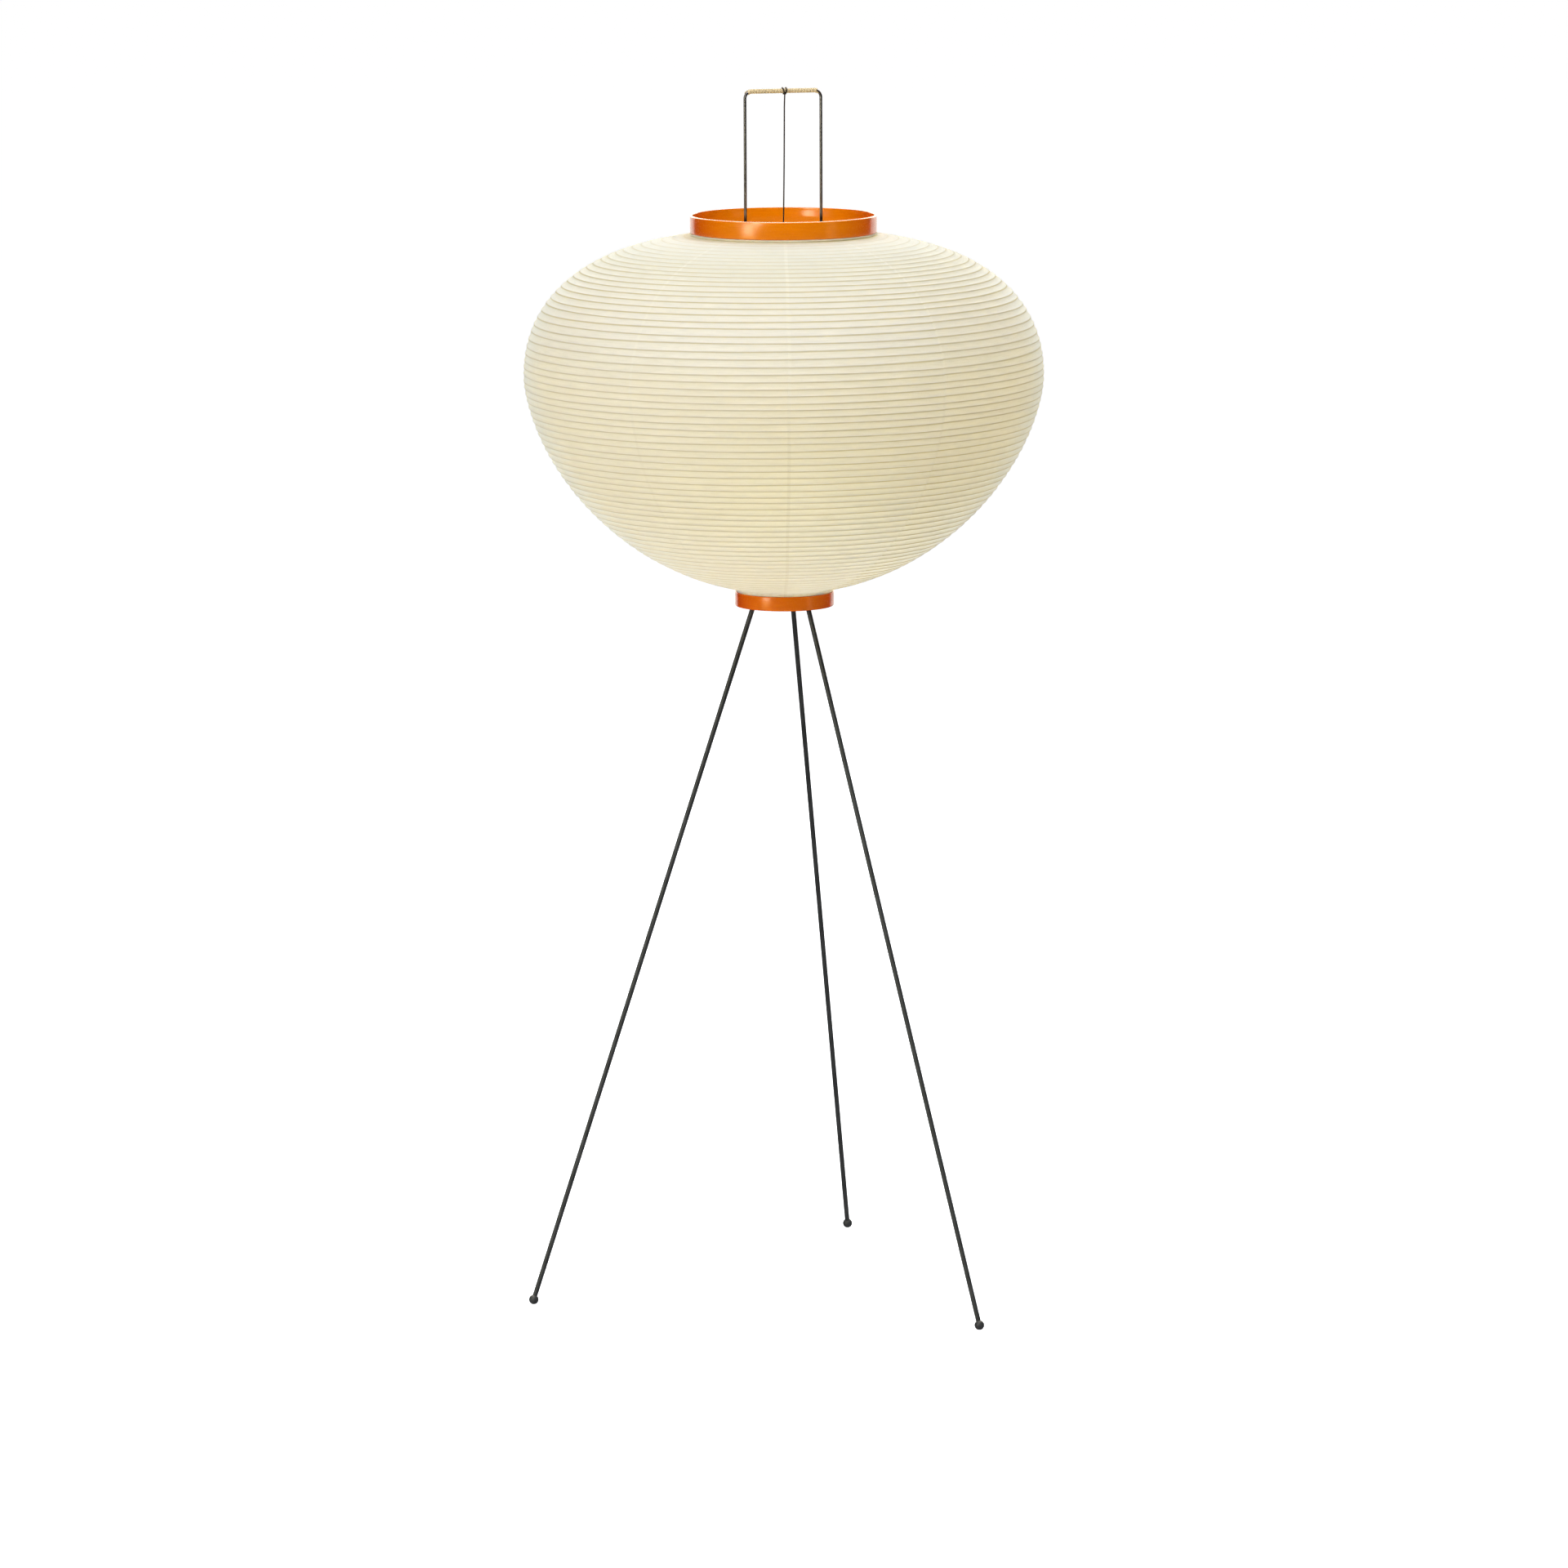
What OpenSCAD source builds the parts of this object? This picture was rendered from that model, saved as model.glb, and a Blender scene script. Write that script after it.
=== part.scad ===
// Paper lantern floor lamp.
// A ribbed paper lantern between two lacquered hoops, stretched by a slim
// wire lift frame with a bound handle, standing on three thin rod legs.
// Units are millimetres. +Z is up. The origin lies on the floor, on the
// lantern's axis. The lift frame lies in the XZ plane and leg 1 points to -X.

/* [Shade] */
// Largest radius of the paper lantern
shade_radius = 265.5; // [255:0.5:275]
// Height of the lantern's widest point above the floor
shade_mid_z = 952.5; // [945:0.5:960]
// Rise of the upper curve's apex above the widest point
shade_up_h = 147.7; // [146.5:0.1:148.8]
// Drop of the lower curve's apex below the widest point
shade_low_h = 222.0; // [221:0.1:223]
// Exponents of the upper curve: roundness along the height, along the radius
shade_up_exp = [2.24, 2.83];
// Exponents of the lower curve
shade_low_exp = [1.64, 2.05];
// Thickness of the paper shell
paper_t = 0.8; // [0.6:0.1:1.2]
// Distance between bamboo ribs, measured along the curve
rib_pitch = 8.2; // [7.5:0.1:12]
// Width of a bamboo rib's section
rib_w = 1.1; // [0.6:0.1:1.4]

/* [Hoops] */
// Outer radius of the top hoop
top_ring_r = 95; // [92:0.5:98]
// Height of the top hoop
top_ring_h = 18; // [14:0.5:20]
// Upper edge of the top hoop above the floor
top_ring_z = 1117.2; // [1115:0.1:1120]
// Outer radius of the lower hoop
low_ring_r = 50.8; // [50.6:0.1:51.6]
// Height of the lower hoop
low_ring_h = 14.6; // [14:0.1:15]
// Lower edge of the lower hoop above the floor
low_ring_z = 717.2; // [716.8:0.1:717.4]
// Wall thickness of both hoops
ring_t = 3; // [2.5:0.1:3.4]
// Radius of the wire that crosses the top hoop
crossbar_r = 1; // [0.8:0.1:1.2]

/* [Lift frame] */
// Distance between the two rods, centre to centre
frame_w = 80; // [76:1:84]
// Height of the handle's centre line above the floor
handle_z = 1242.6; // [1230:0.1:1260]
// Radius of the frame rod
frame_rod_r = 1.5; // [1.2:0.1:1.7]
// Bend radius at the handle's corners, on the centre line
frame_bend_r = 7; // [5:0.5:12]
// Outer radius of the handle's binding
wrap_r = 2.4; // [2.1:0.1:3]
// Radius of the wire that hangs the top hoop on the handle
hanger_r = 0.6; // [0.5:0.1:0.8]

/* [Legs] */
// Angle of the legs from the vertical
leg_angle = 18.5; // [16:0.5:20]
// Distance of a leg's axis from the lantern's axis at the lower hoop's lower edge
leg_top_r = 33.3; // [32.8:0.1:33.6]
// Radius of a leg rod
leg_rod_r = 2.5; // [2:0.1:2.6]
// Radius of a ball foot
foot_r = 5; // [4.5:0.1:6]
// Height of a ball foot's centre above the floor
foot_z = 4.5; // [4:0.1:4.9]

/* [Lamp] */
// Radius of the bulb's globe
bulb_r = 30; // [25:1:32]
// Height of the globe's centre above the floor
bulb_z = 828; // [824:1:832]
// Radius of the cable passage in the gland
inlet_r = 3.3; // [2.5:0.1:3.3]
// Outer radius of the lampholder's skirt
holder_r = 19.5; // [18.5:0.1:20]

/* [Hidden] */
$fn = 64;

paper_col = [0.95, 0.92, 0.84];
bamboo_col = [0.72, 0.60, 0.40];
lacquer_col = [0.90, 0.46, 0.03];
steel_col = [0.12, 0.12, 0.12];
cane_col = [0.84, 0.72, 0.46];
brass_col = [0.80, 0.66, 0.34];

low_top_z = low_ring_z + low_ring_h;        // upper edge of the lower hoop
top_low_z = top_ring_z - top_ring_h;        // lower edge of the top hoop
plate_t = 2.5;                              // hub plate thickness
plate_top = low_top_z + plate_t;
joint_gap = 0.3;                            // air between lantern and top hoop
gores = 10;                                 // paper gores glued side by side
gore_start = 3.1;                           // angle of the first seam from +X

// ---- lantern curve -------------------------------------------------------
function curve_r(z) =
    let (up = z > shade_mid_z,
         t = up ? (z - shade_mid_z) / shade_up_h : (shade_mid_z - z) / shade_low_h,
         e = up ? shade_up_exp : shade_low_exp)
    shade_radius * pow(max(0, 1 - pow(min(1, t), e[0])), 1 / e[1]);
// height on the curve at a radius, on the upper or lower half
function curve_z(r, up) =
    let (e = up ? shade_up_exp : shade_low_exp,
         t = pow(1 - pow(r / shade_radius, e[1]), 1 / e[0]))
    up ? shade_mid_z + t * shade_up_h : shade_mid_z - t * shade_low_h;

curve_z0 = curve_z(low_ring_r - 0.4, false);   // where the curve meets the lower neck
curve_z1 = curve_z(top_ring_r - 1.2, true);    // where the curve meets the top neck
samples = 400;
// fine samples, closer together towards both necks
function fine_z(i) =
    let (a = 180 * i / samples) curve_z0 + (curve_z1 - curve_z0) * (1 - cos(a)) / 2;
fine = [for (i = [0:samples]) [curve_r(fine_z(i)), fine_z(i)]];
function run(i) = i == 0 ? 0 : norm(fine[i] - fine[i - 1]);
lens = [for (i = 0, s = 0; i <= samples; i = i + 1, s = s + (i <= samples ? run(min(i, samples)) : 0)) s];
total_len = lens[samples];
r_of_s = [for (i = [0:samples]) [lens[i], fine[i][0]]];
z_of_s = [for (i = [0:samples]) [lens[i], fine[i][1]]];
bands = round(total_len / rib_pitch);
step = total_len / bands;
function band_pt(i) = [lookup(i * step, r_of_s), lookup(i * step, z_of_s)];
band = [for (i = [0:bands]) band_pt(i)];
function unit(v) = v / norm(v);
// inward normal at a band edge
function inward(i) =
    let (t = unit(band[min(bands, i + 1)] - band[max(0, i - 1)])) [-t[1], t[0]];

// One of the paper gores, which run from hoop to hoop and meet at their seams.
module shade_gore(k) {
    color(paper_col)
    rotate([0, 0, gore_start + (k - 1) * 360 / gores])
    rotate_extrude(angle = 360 / gores, $fn = 120)
    polygon(concat(
        [[band[0][0], low_top_z + joint_gap]],
        band,
        [[band[bands][0], top_low_z - joint_gap]],
        [[band[bands][0] - paper_t, top_low_z - joint_gap]],
        [for (i = [bands:-1:0])
            i == bands ? [band[i][0] - paper_t, band[i][1] - paper_t * 1.1]
          : i == 0 ? [band[i][0] - paper_t, band[i][1] + paper_t * 0.6]
          : band[i] + paper_t * inward(i)],
        [[band[0][0] - paper_t, low_top_z + joint_gap]]));
}
module shade_gore_1() { shade_gore(1); }
module shade_gore_2() { shade_gore(2); }
module shade_gore_3() { shade_gore(3); }
module shade_gore_4() { shade_gore(4); }
module shade_gore_5() { shade_gore(5); }
module shade_gore_6() { shade_gore(6); }
module shade_gore_7() { shade_gore(7); }
module shade_gore_8() { shade_gore(8); }
module shade_gore_9() { shade_gore(9); }
module shade_gore_10() { shade_gore(10); }

// One closed ring for every turn of the bamboo strip, just inside the paper.
module bamboo_ribs() {
    color(bamboo_col)
    for (i = [1:bands - 1]) {
        p = band[i] + (paper_t + 0.12 + rib_w / 2) * inward(i);
        t = unit(band[i + 1] - band[i - 1]);
        rotate_extrude($fn = 120)
        polygon([for (c = [[-1, -1], [1, -1], [1, 1], [-1, 1]])
            p + c[0] * rib_w / 2 * t + c[1] * rib_w / 2 * 0.9 * inward(i)]);
    }
}

// ---- hoops ---------------------------------------------------------------
crossbar_z = top_low_z + crossbar_r;        // lies in the hoop's lower edge
crossbar_x = hanger_r + crossbar_r + 0.15;  // just beside the hanging wire

module hoop(r, z, h) {
    translate([0, 0, z])
    rotate_extrude($fn = 120)
    translate([r - ring_t, 0])
    polygon([[0.3, 0], [ring_t - 0.4, 0], [ring_t, 0.4], [ring_t, h - 0.4],
             [ring_t - 0.4, h], [0.3, h], [0, h - 0.3], [0, 0.3]]);
}

module top_ring() {
    color(lacquer_col)
    difference() {
        hoop(top_ring_r, top_low_z, top_ring_h);
        // blind holes for the crossbar's ends
        translate([crossbar_x, 0, crossbar_z]) rotate([90, 0, 0])
            cylinder(r = crossbar_r, h = 2 * (top_ring_r - 1.2), center = true, $fn = 32);
    }
}

module top_crossbar() {
    color(steel_col)
    translate([crossbar_x, 0, crossbar_z]) rotate([90, 0, 0])
        cylinder(r = crossbar_r, h = 2 * (top_ring_r - 1.2), center = true, $fn = 32);
}

module lower_ring() {
    color(lacquer_col) hoop(low_ring_r, low_ring_z, low_ring_h);
}

// ---- lift frame ----------------------------------------------------------
rod_foot_z = 726;                           // lower ends of the frame rods
rod_top_z = handle_z - frame_bend_r;
bar_half = frame_w / 2 - frame_bend_r;

module lift_frame() {
    color(steel_col) {
        for (s = [-1, 1]) {
            translate([s * frame_w / 2, 0, rod_foot_z])
                cylinder(r = frame_rod_r, h = rod_top_z - rod_foot_z, $fn = 32);
            translate([s * bar_half, 0, rod_top_z])
            rotate([90, 0, 0])
            rotate([0, s > 0 ? 0 : 180, 0])
            rotate_extrude(angle = 90, $fn = 64)
                translate([frame_bend_r, 0]) circle(r = frame_rod_r, $fn = 32);
        }
        translate([0, 0, handle_z]) rotate([0, 90, 0])
            cylinder(r = frame_rod_r, h = 2 * bar_half, center = true, $fn = 32);
    }
}

module handle_wrap() {
    color(cane_col)
    translate([0, 0, handle_z]) rotate([0, 90, 0])
    difference() {
        cylinder(r = wrap_r, h = 2 * bar_half, center = true, $fn = 48);
        cylinder(r = frame_rod_r, h = 2 * bar_half + 1, center = true, $fn = 32);
    }
}

// Two turns around the handle, a straight wire down, and a hook that holds
// the crossbar of the top hoop from below.
module hanger_wire() {
    turn_r = wrap_r + hanger_r + 0.02;
    hook_r = crossbar_x;
    color(steel_col) {
        for (x = [-0.65, 0.65])
            translate([x, 0, handle_z]) rotate([0, 90, 0])
            rotate_extrude($fn = 48) translate([turn_r, 0]) circle(r = hanger_r, $fn = 24);
        translate([0, 0, crossbar_z])
            cylinder(r = hanger_r, h = handle_z - turn_r - crossbar_z, $fn = 24);
        translate([crossbar_x, 0, crossbar_z]) rotate([-90, 0, 0])
            rotate_extrude(angle = 180, $fn = 48)
            translate([hook_r, 0]) circle(r = hanger_r, $fn = 24);
        translate([2 * crossbar_x, 0, crossbar_z])
            cylinder(r = hanger_r, h = 3.5, $fn = 24);
    }
}

module frame_socket(s) {
    color(steel_col)
    translate([s * frame_w / 2, 0, 0])
    difference() {
        translate([0, 0, rod_foot_z - 2]) cylinder(r = 3.5, h = 24, $fn = 48);
        translate([0, 0, rod_foot_z]) cylinder(r = frame_rod_r + 0.05, h = 30, $fn = 48);
    }
}
module frame_socket_left() { frame_socket(-1); }
module frame_socket_right() { frame_socket(1); }

// ---- hub -----------------------------------------------------------------
leg_az = [180, 60, -60];
arm_az = [0, 60, 180, 300];
arm_w = 13;
socket_r = 4.5;
nipple_r = 5;

// Puts its children on a leg's axis: local Z runs up the leg, local X points
// away from the lantern's axis, and local zero is at the lower hoop's edge.
module on_leg(k) {
    rotate([0, 0, leg_az[k]])
    translate([leg_top_r, 0, low_ring_z])
    rotate([0, -leg_angle, 0])
    children();
}
leg_up = 26;                                // leg's upper end above the local zero
socket_low = 2.6;
socket_high = leg_up + 2;

module hub_plate() {
    color(steel_col)
    difference() {
        union() {
            translate([0, 0, low_top_z]) cylinder(r = 24, h = plate_t, $fn = 96);
            intersection() {
                for (a = arm_az) rotate([0, 0, a])
                    translate([0, -arm_w / 2, low_top_z]) cube([60, arm_w, plate_t]);
                translate([0, 0, low_top_z]) cylinder(r = low_ring_r - 1.6, h = plate_t, $fn = 96);
            }
            // turned-down tabs that sit inside the lower hoop
            intersection() {
                for (a = arm_az) rotate([0, 0, a])
                    translate([40, -arm_w / 2, low_top_z - 9]) cube([20, arm_w, 10]);
                difference() {
                    translate([0, 0, low_top_z - 9])
                        cylinder(r = low_ring_r - ring_t, h = 10, $fn = 96);
                    translate([0, 0, low_top_z - 10])
                        cylinder(r = low_ring_r - ring_t - 1.5, h = 12, $fn = 96);
                }
            }
        }
        translate([0, 0, low_top_z - 1]) cylinder(r = nipple_r, h = 10, $fn = 48);
        for (k = [0:2]) on_leg(k) cylinder(r = socket_r, h = 40, $fn = 48);
        for (s = [-1, 1]) translate([s * frame_w / 2, 0, low_top_z - 1])
            cylinder(r = 3.5, h = 10, $fn = 48);
    }
}

screw_h = 6.5;                              // screw's height along the leg
module leg_socket(k) {
    color(steel_col)
    on_leg(k)
    difference() {
        translate([0, 0, socket_low]) cylinder(r = socket_r, h = socket_high - socket_low, $fn = 48);
        translate([0, 0, socket_low - 1]) cylinder(r = leg_rod_r + 0.05, h = leg_up - socket_low + 1, $fn = 48);
        translate([0, 0, screw_h]) rotate([-90, 0, 0]) cylinder(r = 1.25, h = 8, $fn = 32);
    }
}
module leg_socket_1() { leg_socket(0); }
module leg_socket_2() { leg_socket(1); }
module leg_socket_3() { leg_socket(2); }

// Three clamping screws, one through each socket's side.
module leg_screws() {
    color(steel_col)
    for (k = [0:2]) on_leg(k) translate([0, 0, screw_h]) rotate([-90, 0, 0]) {
        translate([0, 0, leg_rod_r + 0.15]) cylinder(r = 1.25, h = 3, $fn = 32);
        difference() {
            translate([0, 0, socket_r + 0.05]) cylinder(r = 2.4, h = 1.8, $fn = 32);
            translate([-0.35, -3, socket_r + 1.1]) cube([0.7, 6, 2]);
        }
    }
}

// ---- legs ----------------------------------------------------------------
leg_down = (low_ring_z - foot_z) / cos(leg_angle);   // to the ball's centre
module leg(k) {
    color(steel_col)
    on_leg(k) translate([0, 0, -leg_down]) cylinder(r = leg_rod_r, h = leg_down + leg_up, $fn = 48);
}
module leg_1() { leg(0); }
module leg_2() { leg(1); }
module leg_3() { leg(2); }

module foot(k) {
    color(steel_col)
    difference() {
        on_leg(k) translate([0, 0, -leg_down]) sphere(r = foot_r, $fn = 64);
        rotate([0, 0, leg_az[k]])
            translate([leg_top_r + leg_down * sin(leg_angle) - 20, -20, -20]) cube([40, 40, 20]);
        on_leg(k) translate([0, 0, -leg_down]) cylinder(r = leg_rod_r, h = 20, $fn = 48);
    }
}
module foot_1() { foot(0); }
module foot_2() { foot(1); }
module foot_3() { foot(2); }

// ---- lampholder ----------------------------------------------------------
nipple_low = 716;
base_z = plate_top + 4;                     // lampholder stands on the upper nut
block_z = 750.5;
block_top = 757.5;

module mounting_nipple() {
    color(brass_col)
    difference() {
        translate([0, 0, nipple_low]) cylinder(r = nipple_r, h = 747 - nipple_low, $fn = 48);
        translate([0, 0, nipple_low - 1]) cylinder(r = 3.6, h = 40, $fn = 48);
    }
}

module locknuts() {
    color(brass_col)
    for (z = [low_top_z - 4, plate_top])
        translate([0, 0, z]) difference() {
            cylinder(r = 8.4, h = 4, $fn = 6);
            translate([0, 0, -1]) cylinder(r = nipple_r, h = 6, $fn = 48);
        }
}

module cord_gland() {
    color([0.06, 0.06, 0.06])
    difference() {
        union() {
            translate([0, 0, nipple_low - 5]) rotate_extrude($fn = 48)
                polygon([[0, 0], [5.8, 0], [7.4, 1.6], [7.4, 11], [0, 11]]);
        }
        translate([0, 0, nipple_low]) cylinder(r = nipple_r, h = 20, $fn = 48);
        translate([0, 0, nipple_low - 6]) cylinder(r = inlet_r, h = 10, $fn = 48);
    }
}

module lampholder_base() {
    color([0.08, 0.08, 0.08])
    difference() {
        translate([0, 0, base_z]) rotate_extrude($fn = 64)
            polygon([[0, 0], [11, 0], [16.5, 4], [16.5, block_top - base_z], [0, block_top - base_z]]);
        translate([0, 0, base_z - 1]) cylinder(r = nipple_r, h = 20, $fn = 48);
        translate([0, 0, base_z + 4]) cylinder(r = 12, h = 8.2, $fn = 64);
        translate([0, 0, block_z]) cylinder(r = 14.5, h = 20, $fn = 64);
    }
}

module terminal_block() {
    color([0.90, 0.88, 0.82])
    translate([0, 0, block_z]) cylinder(r = 14.4, h = block_top - block_z, $fn = 64);
}

module lampholder_skirt() {
    color([0.08, 0.08, 0.08])
    difference() {
        translate([0, 0, 750]) rotate_extrude($fn = 64)
            polygon([[0, 0], [holder_r - 1, 0], [holder_r, 1], [holder_r, 32], [holder_r - 0.8, 33], [0, 33]]);
        translate([0, 0, 749]) cylinder(r = 16.55, h = 20, $fn = 64);
        translate([0, 0, block_top]) cylinder(r = 17.5, h = 40, $fn = 64);
    }
}

module screw_shell() {
    color(brass_col)
    translate([0, 0, block_top]) difference() {
        union() {
            cylinder(r = 13.85, h = 23, $fn = 64);
            cylinder(r = 17.3, h = 0.8, $fn = 64);
        }
        translate([0, 0, -1]) cylinder(r = 13.3, h = 30, $fn = 64);
    }
}

module centre_contact() {
    color(brass_col)
    translate([0, 0, block_top]) {
        cylinder(r = 4, h = 1, $fn = 32);
        cylinder(r = 2.6, h = 2.2, $fn = 32);
    }
}

// ---- bulb ----------------------------------------------------------------
cap_z = 762.5;
neck_z = 786;
globe_cut = bulb_z - 20;                    // where the globe meets the neck
globe_neck_r = sqrt(bulb_r * bulb_r - 400);

module bulb_glass() {
    color([0.97, 0.95, 0.90])
    difference() {
        translate([0, 0, bulb_z]) sphere(r = bulb_r, $fn = 96);
        translate([0, 0, bulb_z]) sphere(r = bulb_r - 1.2, $fn = 96);
        translate([0, 0, globe_cut - 50]) cylinder(r = 60, h = 50, $fn = 32);
    }
}

module bulb_neck() {
    color([0.93, 0.93, 0.92])
    rotate_extrude($fn = 64)
    polygon([[12, neck_z], [14.2, neck_z], [14.8, neck_z + 1.5], [globe_neck_r, globe_cut - 3],
             [globe_neck_r, globe_cut], [globe_neck_r - 2, globe_cut], [globe_neck_r - 2, globe_cut - 3],
             [12.8, neck_z + 2.2], [12, neck_z + 1.4]]);
}

module bulb_cap() {
    color([0.80, 0.80, 0.78])
    difference() {
        union() {
            translate([0, 0, cap_z + 1]) cylinder(r = 13.2, h = neck_z - cap_z - 1, $fn = 64);
            translate([0, 0, cap_z]) cylinder(r = 10, h = 2, $fn = 64);
        }
        translate([0, 0, cap_z + 2]) cylinder(r = 12.6, h = 30, $fn = 64);
        translate([0, 0, cap_z - 1]) cylinder(r = 7, h = 10, $fn = 48);
    }
}

module bulb_insulator() {
    color([0.10, 0.09, 0.09])
    translate([0, 0, cap_z - 1.8]) cylinder(r = 7, h = 5, $fn = 48);
}

module bulb_contact() {
    color([0.75, 0.75, 0.72])
    translate([0, 0, cap_z - 2.7]) cylinder(r = 3.6, h = 0.9, $fn = 32);
}

shade_gore_1();
shade_gore_2();
shade_gore_3();
shade_gore_4();
shade_gore_5();
shade_gore_6();
shade_gore_7();
shade_gore_8();
shade_gore_9();
shade_gore_10();
bamboo_ribs();
top_ring();
top_crossbar();
lower_ring();
hanger_wire();
lift_frame();
handle_wrap();
frame_socket_left();
frame_socket_right();
hub_plate();
leg_socket_1();
leg_socket_2();
leg_socket_3();
leg_screws();
leg_1();
leg_2();
leg_3();
foot_1();
foot_2();
foot_3();
mounting_nipple();
locknuts();
cord_gland();
lampholder_base();
terminal_block();
lampholder_skirt();
screw_shell();
centre_contact();
bulb_glass();
bulb_neck();
bulb_cap();
bulb_insulator();
bulb_contact();
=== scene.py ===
import math
import random

import bpy
import numpy as np
from mathutils import Matrix, Vector, noise


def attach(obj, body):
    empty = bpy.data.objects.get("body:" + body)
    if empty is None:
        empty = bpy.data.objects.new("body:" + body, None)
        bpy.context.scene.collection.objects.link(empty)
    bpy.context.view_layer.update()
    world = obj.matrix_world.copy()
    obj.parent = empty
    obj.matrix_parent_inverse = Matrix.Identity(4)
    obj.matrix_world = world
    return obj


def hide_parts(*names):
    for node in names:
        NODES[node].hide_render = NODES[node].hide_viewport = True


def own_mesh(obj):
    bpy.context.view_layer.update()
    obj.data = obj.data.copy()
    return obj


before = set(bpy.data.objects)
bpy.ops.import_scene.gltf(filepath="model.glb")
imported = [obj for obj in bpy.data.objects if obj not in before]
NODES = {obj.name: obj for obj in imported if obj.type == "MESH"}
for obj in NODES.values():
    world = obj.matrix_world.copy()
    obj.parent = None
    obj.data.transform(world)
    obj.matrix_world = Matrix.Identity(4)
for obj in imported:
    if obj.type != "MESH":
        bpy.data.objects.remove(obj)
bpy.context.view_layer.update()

MM = 0.001
scene = bpy.context.scene


# ------------------------------------------------------------------ camera
# Fitted to the hoops, rods and ball feet in the photograph.
CAM_F = 8241.8           # focal length in pixels of a 1920 pixel wide frame
CAM_D = 6.8392           # distance from the lantern's axis
CAM_H = 1.6809           # height above the floor
CAM_PITCH = math.radians(9.547)
CAM_TURN = math.radians(15.978)      # how far the lamp is turned under it
CAM_ROLL = math.radians(0.187)


def make_camera():
    data = bpy.data.cameras.new("studio_camera")
    data.sensor_fit = "HORIZONTAL"
    data.sensor_width = 36.0
    data.lens = CAM_F / 1920 * 36.0
    data.shift_x = -1.46 / 1920
    data.clip_start = 0.1
    data.clip_end = 200
    cam = bpy.data.objects.new("studio_camera", data)
    scene.collection.objects.link(cam)
    turn = Matrix.Rotation(-CAM_TURN, 4, "Z")
    cam.matrix_world = (
        turn
        @ Matrix.Translation((0, -CAM_D, CAM_H))
        @ Matrix.Rotation(math.pi / 2 - CAM_PITCH, 4, "X")
        @ Matrix.Rotation(-CAM_ROLL, 4, "Z")
    )
    scene.camera = cam
    return cam


make_camera()


# ------------------------------------------------------------------ helpers
def mesh_object(name, verts, faces, uvs=None, smooth=True, layer="strip"):
    """A mesh object in metres. faces may mix quads and triangles; uvs is per corner."""
    me = bpy.data.meshes.new(name)
    me.from_pydata([tuple(v) for v in verts], [], [tuple(f) for f in faces])
    if uvs is not None:
        uv = me.uv_layers.new(name=layer)
        flat = np.asarray(uvs, np.float32).reshape(-1)
        uv.data.foreach_set("uv", flat)
    me.validate()
    if smooth:
        me.polygons.foreach_set("use_smooth", [True] * len(me.polygons))
    me.update()
    ob = bpy.data.objects.new(name, me)
    scene.collection.objects.link(ob)
    return ob


def lathe(name, profile, count=160, closed=True, uv_len=True):
    """Turns a list of (r, z) in mm around Z. closed joins the last point to the first."""
    n = len(profile)
    az = np.arange(count) * 2 * math.pi / count
    verts = []
    for a in az:
        c, s = math.cos(a), math.sin(a)
        for r, z in profile:
            verts.append((r * c * MM, r * s * MM, z * MM))
    faces, uvs = [], []
    run = [0.0]
    for i in range(n):
        p, q = profile[i], profile[(i + 1) % n]
        run.append(run[-1] + math.hypot(q[0] - p[0], q[1] - p[1]))
    spans = n if closed else n - 1
    for j in range(count):
        k = (j + 1) % count
        for i in range(spans):
            i2 = (i + 1) % n
            faces.append((j * n + i, k * n + i, k * n + i2, j * n + i2))
            u0, u1 = j / count, (j + 1) / count
            uvs += [(u0, run[i]), (u1, run[i]), (u1, run[i + 1]), (u0, run[i + 1])]
    return mesh_object(name, verts, faces, uvs)


def capped_lathe(name, profile, count=64):
    """A turned solid whose profile starts and ends on the axis (r = 0)."""
    body = profile[1:-1]
    n = len(body)
    verts = [(0, 0, profile[0][1] * MM)]
    for j in range(count):
        a = 2 * math.pi * j / count
        for r, z in body:
            verts.append((r * math.cos(a) * MM, r * math.sin(a) * MM, z * MM))
    verts.append((0, 0, profile[-1][1] * MM))
    last = len(verts) - 1
    faces = []
    for j in range(count):
        k = (j + 1) % count
        faces.append((0, 1 + k * n, 1 + j * n))
        for i in range(n - 1):
            faces.append((1 + j * n + i, 1 + k * n + i, 1 + k * n + i + 1, 1 + j * n + i + 1))
        faces.append((1 + j * n + n - 1, 1 + k * n + n - 1, last))
    return mesh_object(name, verts, faces)


def frames_along(points, up=(0, 0, 1)):
    """Tangent, side and top directions along a path, carried without twist."""
    pts = [Vector(p) for p in points]
    tans = []
    for i in range(len(pts)):
        a, b = pts[max(0, i - 1)], pts[min(len(pts) - 1, i + 1)]
        tans.append((b - a).normalized())
    top = Vector(up)
    out = []
    for t in tans:
        side = t.cross(top)
        if side.length < 1e-6:
            side = t.orthogonal()
        side.normalize()
        top = side.cross(t).normalized()
        out.append((t, side, top))
    return out


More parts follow.
